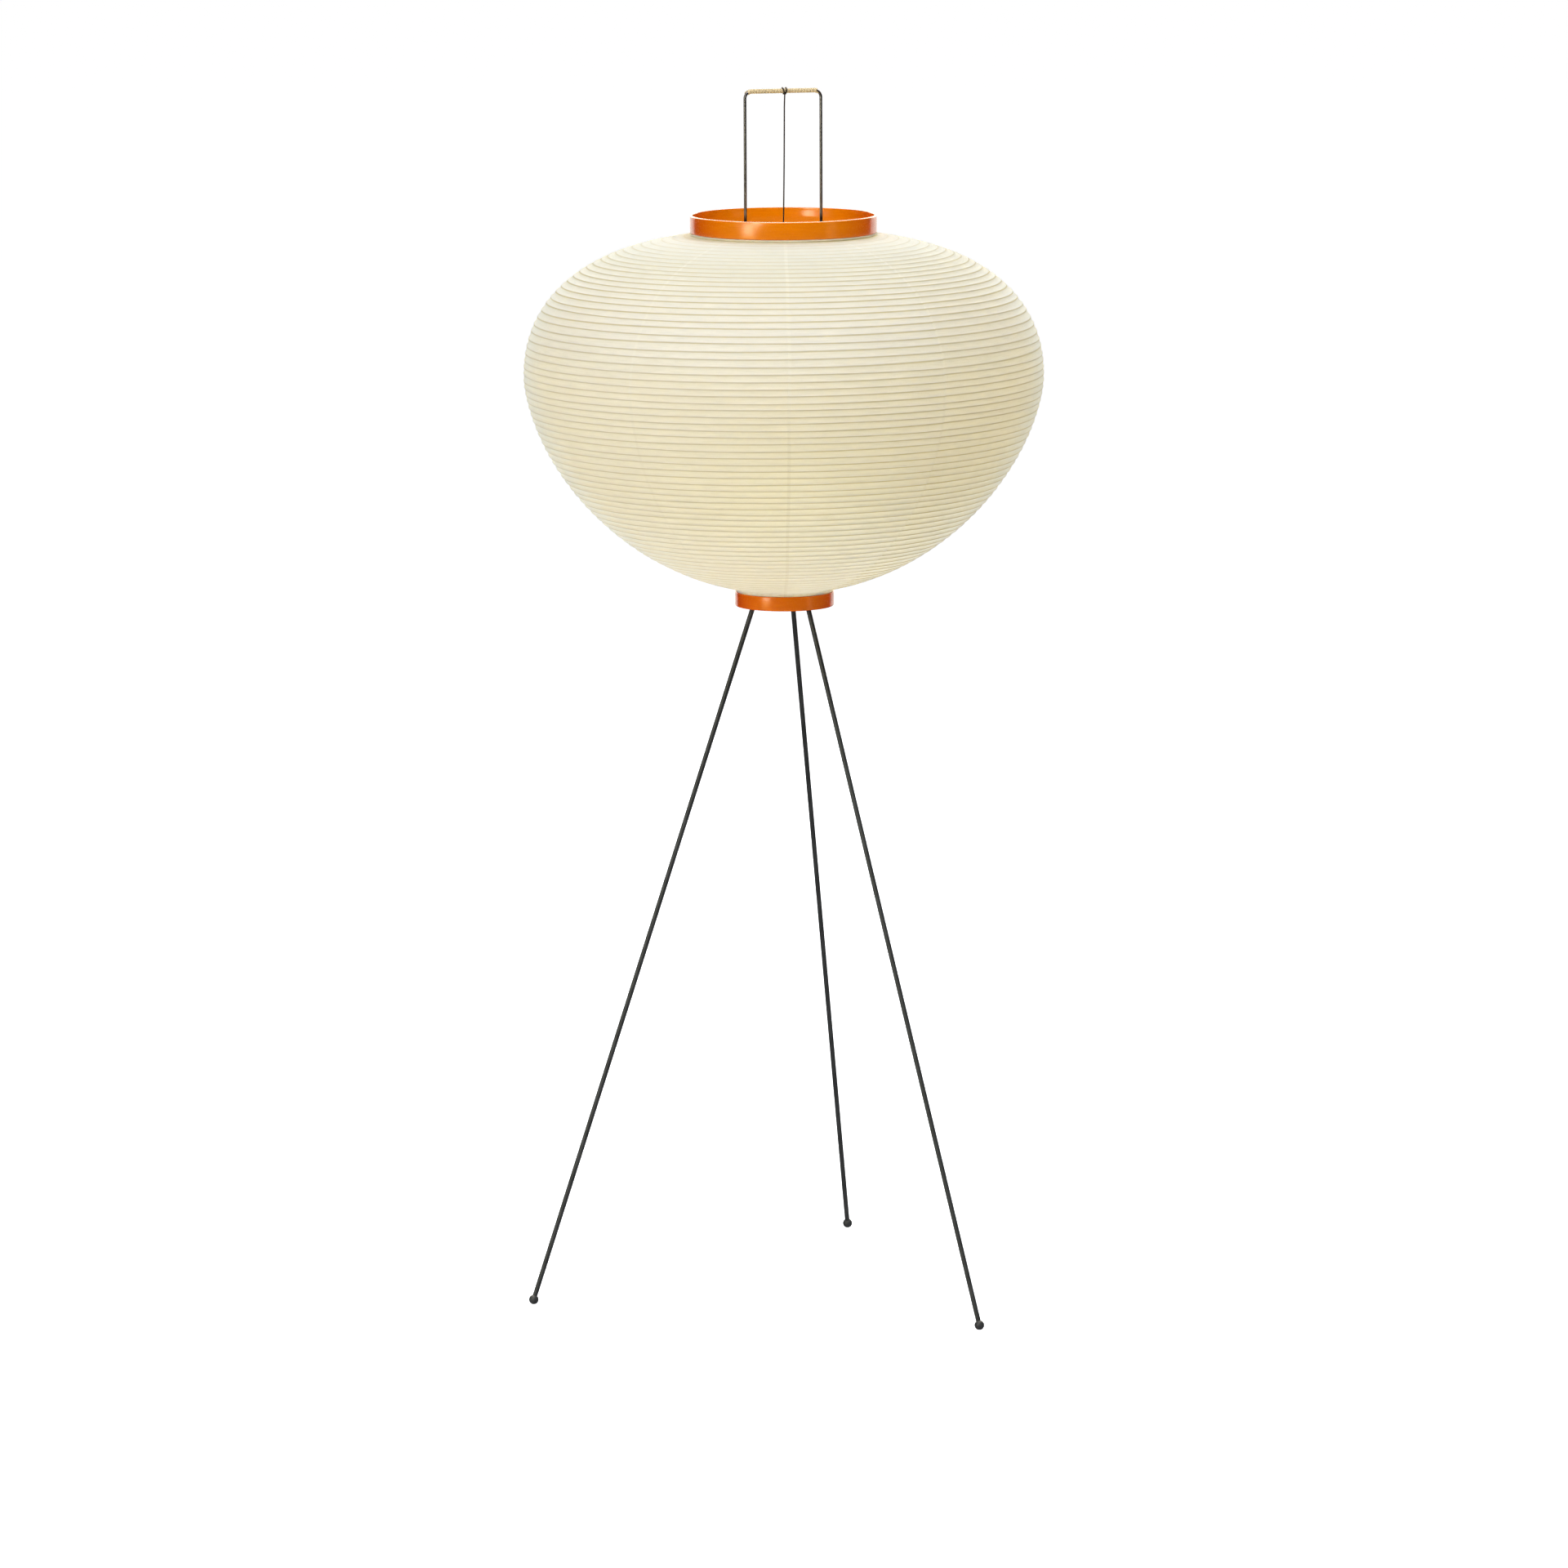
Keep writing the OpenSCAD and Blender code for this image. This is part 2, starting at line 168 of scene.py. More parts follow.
def sweep(name, points, section, up=(0, 0, 1), caps=True, frames=None, scale=None):
    """Sweeps a closed section of (side, top) offsets, in metres, along points, in metres."""
    fr = frames or frames_along(points, up)
    m = len(section)
    verts, faces, uvs = [], [], []
    run = [0.0]
    for i in range(1, len(points)):
        run.append(run[-1] + (Vector(points[i]) - Vector(points[i - 1])).length)
    for i, p in enumerate(points):
        t, side, top = fr[i]
        k = scale[i] if scale else 1.0
        for a, b in section:
            verts.append(Vector(p) + side * a * k + top * b * k)
    for i in range(len(points) - 1):
        for j in range(m):
            j2 = (j + 1) % m
            faces.append((i * m + j, i * m + j2, (i + 1) * m + j2, (i + 1) * m + j))
            uvs += [(j / m, run[i]), ((j + 1) / m, run[i]), ((j + 1) / m, run[i + 1]), (j / m, run[i + 1])]
    if caps:
        faces.append(tuple(range(m))[::-1])
        uvs += [(0, 0)] * m
        e = (len(points) - 1) * m
        faces.append(tuple(range(e, e + m)))
        uvs += [(0, 0)] * m
    return mesh_object(name, verts, faces, uvs)


def circle(r, n=16):
    return [(r * math.cos(2 * math.pi * i / n), r * math.sin(2 * math.pi * i / n)) for i in range(n)]


def assign(ob, mat):
    """Every slot of an object takes this material."""
    if not ob.data.materials:
        ob.data.materials.append(mat)
    for i in range(len(ob.data.materials)):
        ob.data.materials[i] = mat


# ------------------------------------------------------------------ materials
class Shader:
    """A little help to write node trees in a readable way."""

    def __init__(self, name):
        self.mat = bpy.data.materials.new(name)
        self.mat.use_nodes = True
        self.t = self.mat.node_tree
        self.t.nodes.clear()
        self.out = self.t.nodes.new("ShaderNodeOutputMaterial")

    def node(self, kind, **kw):
        n = self.t.nodes.new(kind)
        for k, v in kw.items():
            setattr(n, k, v)
        return n

    def put(self, socket, value):
        if isinstance(value, bpy.types.NodeSocket):
            self.t.links.new(value, socket)
        elif value is not None:
            if socket.type == "RGBA" and len(value) == 3:
                value = (*value, 1)
            socket.default_value = value

    def principled(self, **kw):
        n = self.node("ShaderNodeBsdfPrincipled")
        for k, v in kw.items():
            self.put(n.inputs[k], v)
        return n

    def maths(self, op, a, b=None, c=None, clamp=False):
        n = self.node("ShaderNodeMath", operation=op, use_clamp=clamp)
        self.put(n.inputs[0], a)
        if b is not None:
            self.put(n.inputs[1], b)
        if c is not None:
            self.put(n.inputs[2], c)
        return n.outputs[0]

    def mix(self, fac, a, b, blend="MIX"):
        n = self.node("ShaderNodeMix", data_type="RGBA", blend_type=blend)
        self.put(n.inputs[0], fac)
        self.put(n.inputs[6], a)
        self.put(n.inputs[7], b)
        return n.outputs[2]

    def noise(self, scale, detail=2.0, rough=0.5, vector=None, stretch=None, out=0):
        v = vector
        if v is None:
            v = self.node("ShaderNodeTexCoord").outputs["Object"]
        if stretch is not None:
            m = self.node("ShaderNodeMapping")
            self.put(m.inputs["Vector"], v)
            m.inputs["Scale"].default_value = stretch
            v = m.outputs[0]
        n = self.node("ShaderNodeTexNoise")
        self.put(n.inputs["Vector"], v)
        n.inputs["Scale"].default_value = scale
        n.inputs["Detail"].default_value = detail
        n.inputs["Roughness"].default_value = rough
        return n.outputs[out]

    def ramp(self, fac, stops):
        n = self.node("ShaderNodeValToRGB")
        r = n.color_ramp
        while len(r.elements) > 1:
            r.elements.remove(r.elements[-1])
        r.elements[0].position = stops[0][0]
        r.elements[0].color = (*stops[0][1], 1)
        for p, c in stops[1:]:
            e = r.elements.new(p)
            e.color = (*c, 1)
        self.put(n.inputs[0], fac)
        return n.outputs[0]

    def span(self, value, a, b, lo=0.0, hi=1.0, smooth=True):
        n = self.node("ShaderNodeMapRange")
        n.interpolation_type = "SMOOTHSTEP" if smooth else "LINEAR"
        self.put(n.inputs[0], value)
        n.inputs[1].default_value = a
        n.inputs[2].default_value = b
        n.inputs[3].default_value = lo
        n.inputs[4].default_value = hi
        return n.outputs[0]

    def bump(self, height, strength=0.3, distance=0.001, normal=None):
        n = self.node("ShaderNodeBump")
        n.inputs["Strength"].default_value = strength
        n.inputs["Distance"].default_value = distance
        self.put(n.inputs["Height"], height)
        if normal is not None:
            self.put(n.inputs["Normal"], normal)
        return n.outputs[0]

    def surface(self, node):
        self.t.links.new(node.outputs[0] if hasattr(node, "outputs") else node, self.out.inputs[0])
        return self.mat


# lantern measures, in mm
R0, ZM, HU, HL = 265.5, 952.5, 147.7, 222.0
EU, EL = (2.24, 2.83), (1.64, 2.05)
NECK_LOW_R, NECK_TOP_R = 50.4, 93.8
NECK_LOW_Z, NECK_TOP_Z = 732.1, 1098.9
BANDS = 70


def curve_r(z):
    if z > ZM:
        t, e = (z - ZM) / HU, EU
    else:
        t, e = (ZM - z) / HL, EL
    return R0 * max(0.0, 1 - min(1.0, t) ** e[0]) ** (1 / e[1])


def curve_z(r, up):
    e = EU if up else EL
    t = (1 - (r / R0) ** e[1]) ** (1 / e[0])
    return ZM + t * HU if up else ZM - t * HL


Z0, Z1 = curve_z(NECK_LOW_R, False), curve_z(NECK_TOP_R, True)
_zz = [Z0 + (Z1 - Z0) * (1 - math.cos(math.pi * i / 2000)) / 2 for i in range(2001)]
_rr = [curve_r(z) for z in _zz]
_ss = np.concatenate([[0], np.cumsum(np.hypot(np.diff(_zz), np.diff(_rr)))])
TOTAL = float(_ss[-1])
# the strip isn't wound evenly: closer just below the widest place, wider at the top
_PITCH = ((0, 8.05), (40, 8.25), (62, 8.55), (88, 8.50), (112, 8.40), (138, 8.75), (162, 8.35), (188, 8.35),
          (212, 7.80), (238, 7.95), (262, 7.70), (288, 7.50), (306, 6.92), (342, 6.90), (362, 7.75), (388, 8.10),
          (412, 7.95), (438, 7.82), (462, 8.02), (488, 8.25), (512, 9.00), (538, 10.90), (576, 12.00))
_at = np.linspace(0.0, TOTAL, 2001)
_each = np.interp(_at, [q[0] for q in _PITCH], [q[1] for q in _PITCH])
_turns = np.concatenate([[0], np.cumsum(np.diff(_at) * 2 / (_each[1:] + _each[:-1]))])
_turns = _turns * BANDS / _turns[-1]


def on_curve(s):
    """(r, z, outward normal r, outward normal z) in mm at arc length s."""
    s = np.clip(s, 0, TOTAL)
    r = np.interp(s, _ss, _rr)
    z = np.interp(s, _ss, _zz)
    d = 0.6
    r1, z1 = np.interp(np.clip(s + d, 0, TOTAL), _ss, _rr), np.interp(np.clip(s + d, 0, TOTAL), _ss, _zz)
    r0, z0 = np.interp(np.clip(s - d, 0, TOTAL), _ss, _rr), np.interp(np.clip(s - d, 0, TOTAL), _ss, _zz)
    tr, tz = r1 - r0, z1 - z0
    ln = np.hypot(tr, tz) + 1e-12
    return r, z, tz / ln, -tr / ln


TILT_AZ = -CAM_TURN          # the turns rise slightly towards this side
random.seed(11)
_waves = [
    (random.randint(1, 4), random.uniform(0.45, 1.9), random.uniform(0, 6.28), random.uniform(0.10, 0.22))
    for _ in range(9)
]


def lay_of_turn(p, az):
    """How far, in mm along the curve, a turn of the strip lies off its even pitch."""
    t = np.interp(p + az / (2 * math.pi), _turns, _at) / TOTAL
    ease = np.clip(4 * t * (1 - t), 0, 1) ** 0.6
    off = 1.25 * np.cos(az - TILT_AZ)
    turn = p + az / (2 * math.pi)
    for k, w, ph, amp in _waves:
        off = off + amp * np.sin(k * az + w * turn * 2.1 + ph) * 0.9
    return off * ease


def arc_of(p, az):
    return np.clip(np.interp(p + az / (2 * math.pi), _turns, _at) + lay_of_turn(p, az), 0, TOTAL)


# ------------------------------------------------------------------ paper
def washi():
    """Mulberry paper: cream, matte, lets light through, with fibres, gore seams
    and the bamboo's line at every turn, partly the strip seen through the paper and
    partly painted shade under each ridge, with painted highlight and painted shade across each band."""
    s = Shader("washi_paper")
    uv = s.node("ShaderNodeUVMap", uv_map="strip")
    sep = s.node("ShaderNodeSeparateXYZ")
    s.put(sep.inputs[0], uv.outputs[0])
    turn, phase = sep.outputs[0], sep.outputs[1]
    pos = s.node("ShaderNodeTexCoord").outputs["Object"]
    # bamboo's own uneven colour, along the strip
    along = s.node("ShaderNodeCombineXYZ")
    s.put(along.inputs[0], s.maths("MULTIPLY", turn, 26.0))
    s.put(along.inputs[1], s.maths("ROUND", phase))
    tone = s.noise(1.0, 3.0, 0.6, vector=along.outputs[0])
    tone = s.span(tone, 0.25, 0.75, 0.55, 1.0)
    # dark knots on the strip here and there
    along2 = s.node("ShaderNodeCombineXYZ")
    s.put(along2.inputs[0], s.maths("MULTIPLY", turn, 17.0))
    s.put(along2.inputs[1], s.maths("MULTIPLY", s.maths("ROUND", phase), 3.7))
    knots = s.node("ShaderNodeTexVoronoi", feature="F1")
    s.put(knots.inputs["Vector"], along2.outputs[0])
    knots.inputs["Scale"].default_value = 1.0
    knot = s.span(knots.outputs["Distance"], 0.03, 0.09, 1.0, 0.0)
    # gore seams: ten lapped joints, 3 mm wide
    pxyz = s.node("ShaderNodeSeparateXYZ")
    s.put(pxyz.inputs[0], pos)
    rad = s.maths("SQRT", s.maths("ADD", s.maths("MULTIPLY", pxyz.outputs[0], pxyz.outputs[0]),
                                  s.maths("MULTIPLY", pxyz.outputs[1], pxyz.outputs[1])))
    waver = s.noise(14.0, 1.0, 0.5, vector=pos)
    gore = s.maths("MULTIPLY", turn, 10.0)
    gore = s.maths("ADD", gore, 10 - 3.1 / 36.0)
    gore = s.maths("ADD", gore, s.maths("MULTIPLY", s.maths("SUBTRACT", waver, 0.5), 0.02))
    gf = s.maths("FRACT", gore)
    g_mid = s.maths("ABSOLUTE", s.maths("SUBTRACT", s.maths("FRACT", s.maths("ADD", gf, 0.5)), 0.5))
    arc = s.maths("MULTIPLY", s.maths("MULTIPLY", g_mid, 2 * math.pi / 10), rad)
    seam = s.span(arc, 0.0013, 0.0019, 1.0, 0.0)
    gore_id = s.node("ShaderNodeTexWhiteNoise", noise_dimensions="1D")
    s.put(gore_id.inputs["W"], s.maths("FLOOR", s.maths("ADD", gore, 20.0)))
    gore_tone = gore_id.outputs["Value"]
    # distance to the nearest turn of the strip, as a share of the pitch; every gore
    # was glued on by itself, so the line is a touch off from one gore to the next
    shift = s.maths("MULTIPLY_ADD", gore_tone, 0.06, 0.025)
    fr = s.maths("FRACT", s.maths("ADD", phase, shift))
    up = s.maths("SUBTRACT", 1.0, fr)
    # near the top hoop the turns hardly show, near the lower one they show broadly
    calm = s.span(phase, 54.0, 67.0, 1.0, 0.30)
    broad = s.span(phase, 3.0, 24.0, 1.0, 0.0)
    near = s.maths("MINIMUM", s.maths("DIVIDE", fr, s.maths("MULTIPLY_ADD", broad, 0.45, 1.0)),
                   s.maths("DIVIDE", up, s.maths("MULTIPLY_ADD", broad, 0.75, 1.0)))
    firm = s.maths("MULTIPLY", s.span(phase, 14.0, 40.0, 1.35, 0.58), s.span(phase, 43.0, 52.0, 1.0, 1.75))
    # fitted to the picture: painted shade, below the widest place the lines are painted stronger on the side that
    # gets less light; fitted to the picture, cause unknown: below the widest place the lines read stronger on one
    # side
    painted_shade_side = s.maths("DIVIDE", s.maths("SUBTRACT", s.maths("MULTIPLY", pxyz.outputs[0], 0.70),
                                      s.maths("MULTIPLY", pxyz.outputs[1], 0.70)), rad)
    # mask of the side that is painted paler below, painted light
    side = s.maths("MULTIPLY", s.span(painted_shade_side, 0.25, 0.90), s.span(phase, 20.0, 33.0, 1.0, 0.0))
    painted_shade_side = s.maths("MULTIPLY", s.span(painted_shade_side, 0.25, 0.90), s.span(phase, 40.0, 50.0, 1.0, 0.0))
    firm = s.maths("MULTIPLY", firm, s.maths("MULTIPLY_ADD", painted_shade_side, 0.55, 1.0))
    seam_up = s.span(phase, 30.0, 46.0, 0.0, 1.0)
    seam = s.maths("MULTIPLY", seam, s.span(phase, 60.0, 68.0, 1.0, 0.60))
    # fitted to the picture: below, only the joint in the middle shows well
    best = s.maths("DIVIDE", s.maths("ADD", s.maths("MULTIPLY", pxyz.outputs[0], -0.276),
                                     s.maths("MULTIPLY", pxyz.outputs[1], -0.961)), rad)
    flat = s.maths("MULTIPLY", s.span(best, 0.84, 0.94, 1.0, 0.0), s.span(phase, 30.0, 40.0, 1.0, 0.0))
    seam = s.maths("MULTIPLY", seam, s.maths("MULTIPLY_ADD", flat, -0.60, 1.0))
    line = s.maths("MULTIPLY", s.span(near, 0.050, 0.135, 1.0, 0.0), calm)
    core = s.maths("MULTIPLY", s.span(near, 0.020, 0.095, 1.0, 0.0), calm)
    # painted highlight: the paper just above each ridge, where it faces up to the light
    painted_light_lip = s.maths("MULTIPLY", s.span(fr, 0.12, 0.50, 1.0, 0.0), calm)
    # painted shade: the paper just below each ridge, where it faces down
    painted_sag_shade = s.maths("MULTIPLY", s.span(fr, 0.50, 0.90, 0.0, 1.0), calm)
    # fibres and clouds of the pulp
    cloud = s.noise(26.0, 4.0, 0.62, vector=pos)
    fine = s.noise(420.0, 3.0, 0.6, vector=pos, stretch=(1, 1, 2.2))
    fibre_v = s.node("ShaderNodeTexVoronoi", feature="DISTANCE_TO_EDGE")
    bent = s.mix(0.09, pos, s.noise(60.0, 2.0, 0.5, vector=pos, out=1))
    s.put(fibre_v.inputs["Vector"], bent)
    fibre_v.inputs["Scale"].default_value = 95.0
    fibre = s.span(fibre_v.outputs["Distance"], 0.004, 0.030, 1.0, 0.0)
    # the sheet was brushed on sideways: long thin streaks around the lantern
    lay = s.node("ShaderNodeCombineXYZ")
    s.put(lay.inputs[0], s.maths("MULTIPLY", turn, 74.0))
    s.put(lay.inputs[1], s.maths("MULTIPLY", phase, 6.5))
    streak = s.noise(1.0, 3.0, 0.62, vector=lay.outputs[0])
    lay2 = s.node("ShaderNodeCombineXYZ")
    s.put(lay2.inputs[0], s.maths("MULTIPLY", turn, 240.0))
    s.put(lay2.inputs[1], s.maths("MULTIPLY", phase, 17.0))
    hair = s.noise(1.0, 2.0, 0.55, vector=lay2.outputs[0])
    # colour
    base = s.mix(s.span(cloud, 0.3, 0.7, 0.0, 1.0), (0.905, 0.910, 0.865), (0.935, 0.940, 0.900))
    base = s.mix(s.maths("MULTIPLY", gore_tone, 0.12), base, (0.885, 0.872, 0.800))
    base = s.mix(s.maths("MULTIPLY", fibre, 0.10), base, (0.955, 0.955, 0.920))
    base = s.mix(s.span(streak, 0.36, 0.56, 0.60, 0.0), base, (0.850, 0.835, 0.735))
    base = s.mix(s.span(streak, 0.54, 0.72, 0.0, 0.60), base, (0.965, 0.965, 0.930))
    base = s.mix(s.span(hair, 0.58, 0.74, 0.0, 0.50), base, (0.970, 0.970, 0.940))
    # painted highlight just above each ridge
    base = s.mix(s.maths("MULTIPLY", painted_light_lip, 0.40), base, (0.970, 0.970, 0.935))
    # painted shade below each ridge, broader low down
    base = s.mix(s.maths("MULTIPLY", s.maths("MULTIPLY_ADD", broad, 0.45, 0.22), painted_sag_shade), base, (0.825, 0.812, 0.715))
    # painted light: the belly is painted warmer, for the warm light from inside, and the band above it paler and
    # cooler, for the cool light from above; greyer towards the top
    painted_warm_glow_band = s.maths("MULTIPLY", s.span(phase, 12.0, 26.0), s.span(phase, 40.0, 47.0, 1.0, 0.0))
    base = s.mix(s.maths("MULTIPLY", painted_warm_glow_band, 0.60), base, (0.985, 0.930, 0.790))
    painted_cool_light_band = s.maths("MULTIPLY", s.span(phase, 43.0, 50.0), s.span(phase, 56.0, 62.0, 1.0, 0.0))
    base = s.mix(s.maths("MULTIPLY", painted_cool_light_band, 0.50), base, (0.900, 0.925, 0.985))
    base = s.mix(s.span(phase, 50.0, 64.0, 0.0, 0.62), base, (0.710, 0.735, 0.705))
    # the lap is painted darker low down, painted shade where the double layer holds back the light from inside, and
    # paler higher up
    base = s.mix(s.maths("MULTIPLY", seam, 0.34), base, s.mix(seam_up, (0.850, 0.815, 0.670), (0.985, 0.985, 0.950)))
    # fitted to the picture: painted shadow, darker where the sheet goes into the top hoop, under its edge
    base = s.mix(s.span(phase, 68.3, 69.2, 0.0, 0.75), base, (0.640, 0.585, 0.460))
    # fitted to the picture: painted light, that side is painted a little paler and cooler below
    base = s.mix(side, base, (1.025, 1.065, 1.105), "MULTIPLY")
    # fitted to the picture: painted sheen, cooler and paler where the paper is seen aslant
    rim = s.node("ShaderNodeLayerWeight")
    rim.inputs[0].default_value = 0.5
    aslant = s.maths("MULTIPLY", s.span(rim.outputs["Facing"], 0.58, 0.90), s.span(phase, 50.0, 60.0, 1.0, 0.30))
    base = s.mix(s.maths("MULTIPLY", aslant, 0.70), base, (0.925, 0.975, 0.945))
    dark = s.mix(s.span(phase, 14.0, 36.0, 0.0, 1.0), (0.50, 0.40, 0.075), (0.72, 0.58, 0.070))
    strip = s.mix(s.maths("MULTIPLY", tone, 0.25), dark, (0.90, 0.80, 0.250))
    strip = s.mix(s.maths("MULTIPLY", knot, 0.55), strip, (0.36, 0.28, 0.15))
    # the strip's line: partly the bamboo seen through the paper, partly painted shade just under each ridge
    base = s.mix(s.maths("MULTIPLY", s.maths("MULTIPLY", line, 0.30), firm), base, strip)
    base = s.mix(s.maths("MULTIPLY", s.maths("MULTIPLY", core, 0.34), firm), base, strip)
    # light through the paper: less at a lap, none behind the strip
    thru = s.mix(s.span(cloud, 0.3, 0.7, 0.0, 1.0), (0.965, 0.860, 0.315), (0.990, 0.895, 0.370))
    thru = s.mix(s.maths("MULTIPLY", fibre, 0.14), thru, (0.70, 0.63, 0.25))
    thru = s.mix(s.maths("MULTIPLY", seam, 0.30), thru, s.mix(seam_up, (0.76, 0.66, 0.240), (0.97, 0.90, 0.36)))
    thru = s.mix(s.maths("MULTIPLY", line, 0.34), thru, (0.54, 0.41, 0.060))
    thru = s.mix(s.maths("MULTIPLY", core, 0.44), thru, (0.38, 0.275, 0.030))
    thru = s.mix(s.span(streak, 0.36, 0.56, 0.40, 0.0), thru, (0.84, 0.78, 0.290))
    share = s.span(gore_tone, 0.0, 1.0, 0.435, 0.415, smooth=False)
    share = s.maths("MULTIPLY", share, s.span(phase, 52.0, 68.0, 1.0, 0.72))
    share = s.maths("MULTIPLY", share, s.maths("MULTIPLY_ADD", aslant, -0.24, 1.0))
    height = s.maths("ADD", s.maths("MULTIPLY", fine, 0.5), s.maths("MULTIPLY", fibre, 0.4))
    height = s.maths("ADD", height, s.maths("MULTIPLY", cloud, 0.9))
    height = s.maths("ADD", height, s.maths("MULTIPLY", seam, 0.35))
    height = s.maths("ADD", height, s.maths("MULTIPLY", streak, 0.9))
    n = s.bump(height, 0.35, 0.0004)
    face = s.principled(**{"Base Color": base, "Roughness": 0.82, "Specular IOR Level": 0.25, "Normal": n})
    tr = s.node("ShaderNodeBsdfTranslucent")
    s.put(tr.inputs["Color"], thru)
    s.put(tr.inputs["Normal"], n)
    mixer = s.node("ShaderNodeMixShader")
    s.put(mixer.inputs[0], share)
    s.t.links.new(face.outputs[0], mixer.inputs[1])
    s.t.links.new(tr.outputs[0], mixer.inputs[2])
    return s.surface(mixer)


def bamboo():
    s = Shader("split_bamboo")
    grain = s.noise(900.0, 3.0, 0.6, stretch=(0.12, 0.12, 1.0))
    blot = s.noise(22.0, 2.0, 0.5)
    col = s.ramp(grain, [(0.30, (0.44, 0.32, 0.16)), (0.70, (0.66, 0.53, 0.31))])
    col = s.mix(s.span(blot, 0.55, 0.75, 0.0, 0.5), col, (0.36, 0.25, 0.12))
    n = s.bump(grain, 0.4, 0.0002)
    return s.surface(s.principled(**{"Base Color": col, "Roughness": 0.55, "Normal": n}))


def lacquer(name="orange_lacquer", light=(0.820, 0.190, 0.0), full=(0.870, 0.225, 0.0), edge=(0.700, 0.098, 0.0)):
    """Orange lacquer over a bent wood hoop: gloss with a slow ripple."""
    s = Shader(name)
    pos = s.node("ShaderNodeTexCoord").outputs["Object"]
    grain = s.noise(60.0, 3.0, 0.55, vector=pos, stretch=(1, 1, 14.0))
    ripple = s.noise(26.0, 2.0, 0.5, vector=pos)
    specks = s.noise(700.0, 2.0, 0.5, vector=pos)
    col = s.ramp(grain, [(0.30, light), (0.70, full)])
    col = s.mix(s.span(ripple, 0.62, 0.8, 0.0, 0.30), col, (0.76, 0.155, 0.0))
    # the tinted coat is deeper and redder where it is seen aslant
    aslant = s.node("ShaderNodeLayerWeight")
    aslant.inputs[0].default_value = 0.5
    col = s.mix(s.span(aslant.outputs["Facing"], 0.16, 0.62, 0.0, 1.0, smooth=False), col, edge)
    rough = s.span(specks, 0.3, 0.8, 0.20, 0.32)
    h = s.maths("ADD", s.maths("MULTIPLY", ripple, 1.0), s.maths("MULTIPLY", grain, 0.12))
    n = s.bump(h, 0.16, 0.0010)
    p = s.principled(**{"Base Color": col, "Roughness": rough, "Specular IOR Level": 0.12, "Normal": n,
                        "Coat Weight": 1.0, "Coat Roughness": 0.17, "Coat IOR": 1.5})
    s.put(p.inputs["Coat Normal"], n)
    return s.surface(p)


def black_steel(name="black_steel", rough=(0.36, 0.50), base=(0.029, 0.0285, 0.027)):
    """Rod in thin satin black lacquer, a little worn."""
    s = Shader(name)
    pos = s.node("ShaderNodeTexCoord").outputs["Object"]
    mott = s.noise(140.0, 3.0, 0.5, vector=pos, stretch=(1, 1, 0.15))
    scuff = s.noise(55.0, 5.0, 0.7, vector=pos, stretch=(1, 1, 0.25))
    col = s.mix(s.span(mott, 0.35, 0.75, 0.0, 1.0), tuple(c * 1.15 for c in base), tuple(c * 1.6 for c in base))
    col = s.mix(s.span(scuff, 0.66, 0.80, 0.0, 0.35), col, (0.078, 0.074, 0.069))
    r = s.span(mott, 0.3, 0.75, *rough)
    n = s.bump(mott, 0.05, 0.0002)
    return s.surface(s.principled(**{"Base Color": col, "Roughness": r, "Specular IOR Level": 0.40, "Normal": n}))


def annealed_wire():
    s = Shader("annealed_wire")
    pos = s.node("ShaderNodeTexCoord").outputs["Object"]
    mott = s.noise(400.0, 3.0, 0.6, vector=pos)
    col = s.ramp(mott, [(0.35, (0.020, 0.016, 0.014)), (0.70, (0.060, 0.038, 0.026))])
    return s.surface(s.principled(**{"Base Color": col, "Roughness": s.span(mott, 0.3, 0.7, 0.35, 0.5),
                                     "Metallic": 0.6, "Normal": s.bump(mott, 0.12, 0.0001)}))


def cane():
    """Split cane: pale skin with fine lines along it, and painted shade at its lips, in the grooves between turns.
    """
    s = Shader("cane_binding")
    uv = s.node("ShaderNodeUVMap", uv_map="strip")
    sep = s.node("ShaderNodeSeparateXYZ")
    s.put(sep.inputs[0], uv.outputs[0])
    across, along = sep.outputs[0], sep.outputs[1]
    v = s.node("ShaderNodeCombineXYZ")
    s.put(v.inputs[0], s.maths("MULTIPLY", across, 60.0))
    s.put(v.inputs[1], s.maths("MULTIPLY", along, 40.0))
    lines = s.noise(1.0, 3.0, 0.6, vector=v.outputs[0])
    blot_v = s.node("ShaderNodeCombineXYZ")
    s.put(blot_v.inputs[0], s.maths("MULTIPLY", along, 95.0))
    blot = s.noise(1.0, 2.0, 0.5, vector=blot_v.outputs[0])
    col = s.ramp(lines, [(0.30, (0.60, 0.445, 0.225)), (0.65, (0.70, 0.54, 0.29))])
    col = s.mix(s.span(blot, 0.35, 0.75, 0.0, 0.35), col, (0.78, 0.62, 0.36))
    # painted shade in the grooves between the turns
    painted_light_lip = s.maths("MAXIMUM", s.span(across, 0.0, 0.13, 1.0, 0.0), s.span(across, 0.60, 0.72, 0.0, 1.0))
    col = s.mix(s.maths("MULTIPLY", painted_light_lip, 0.34), col, (0.33, 0.22, 0.100))
    p = s.principled(**{"Base Color": col, "Roughness": s.span(lines, 0.3, 0.7, 0.50, 0.62),
                        "Specular IOR Level": 0.22, "Normal": s.bump(lines, 0.15, 0.0002)})
    return s.surface(p)


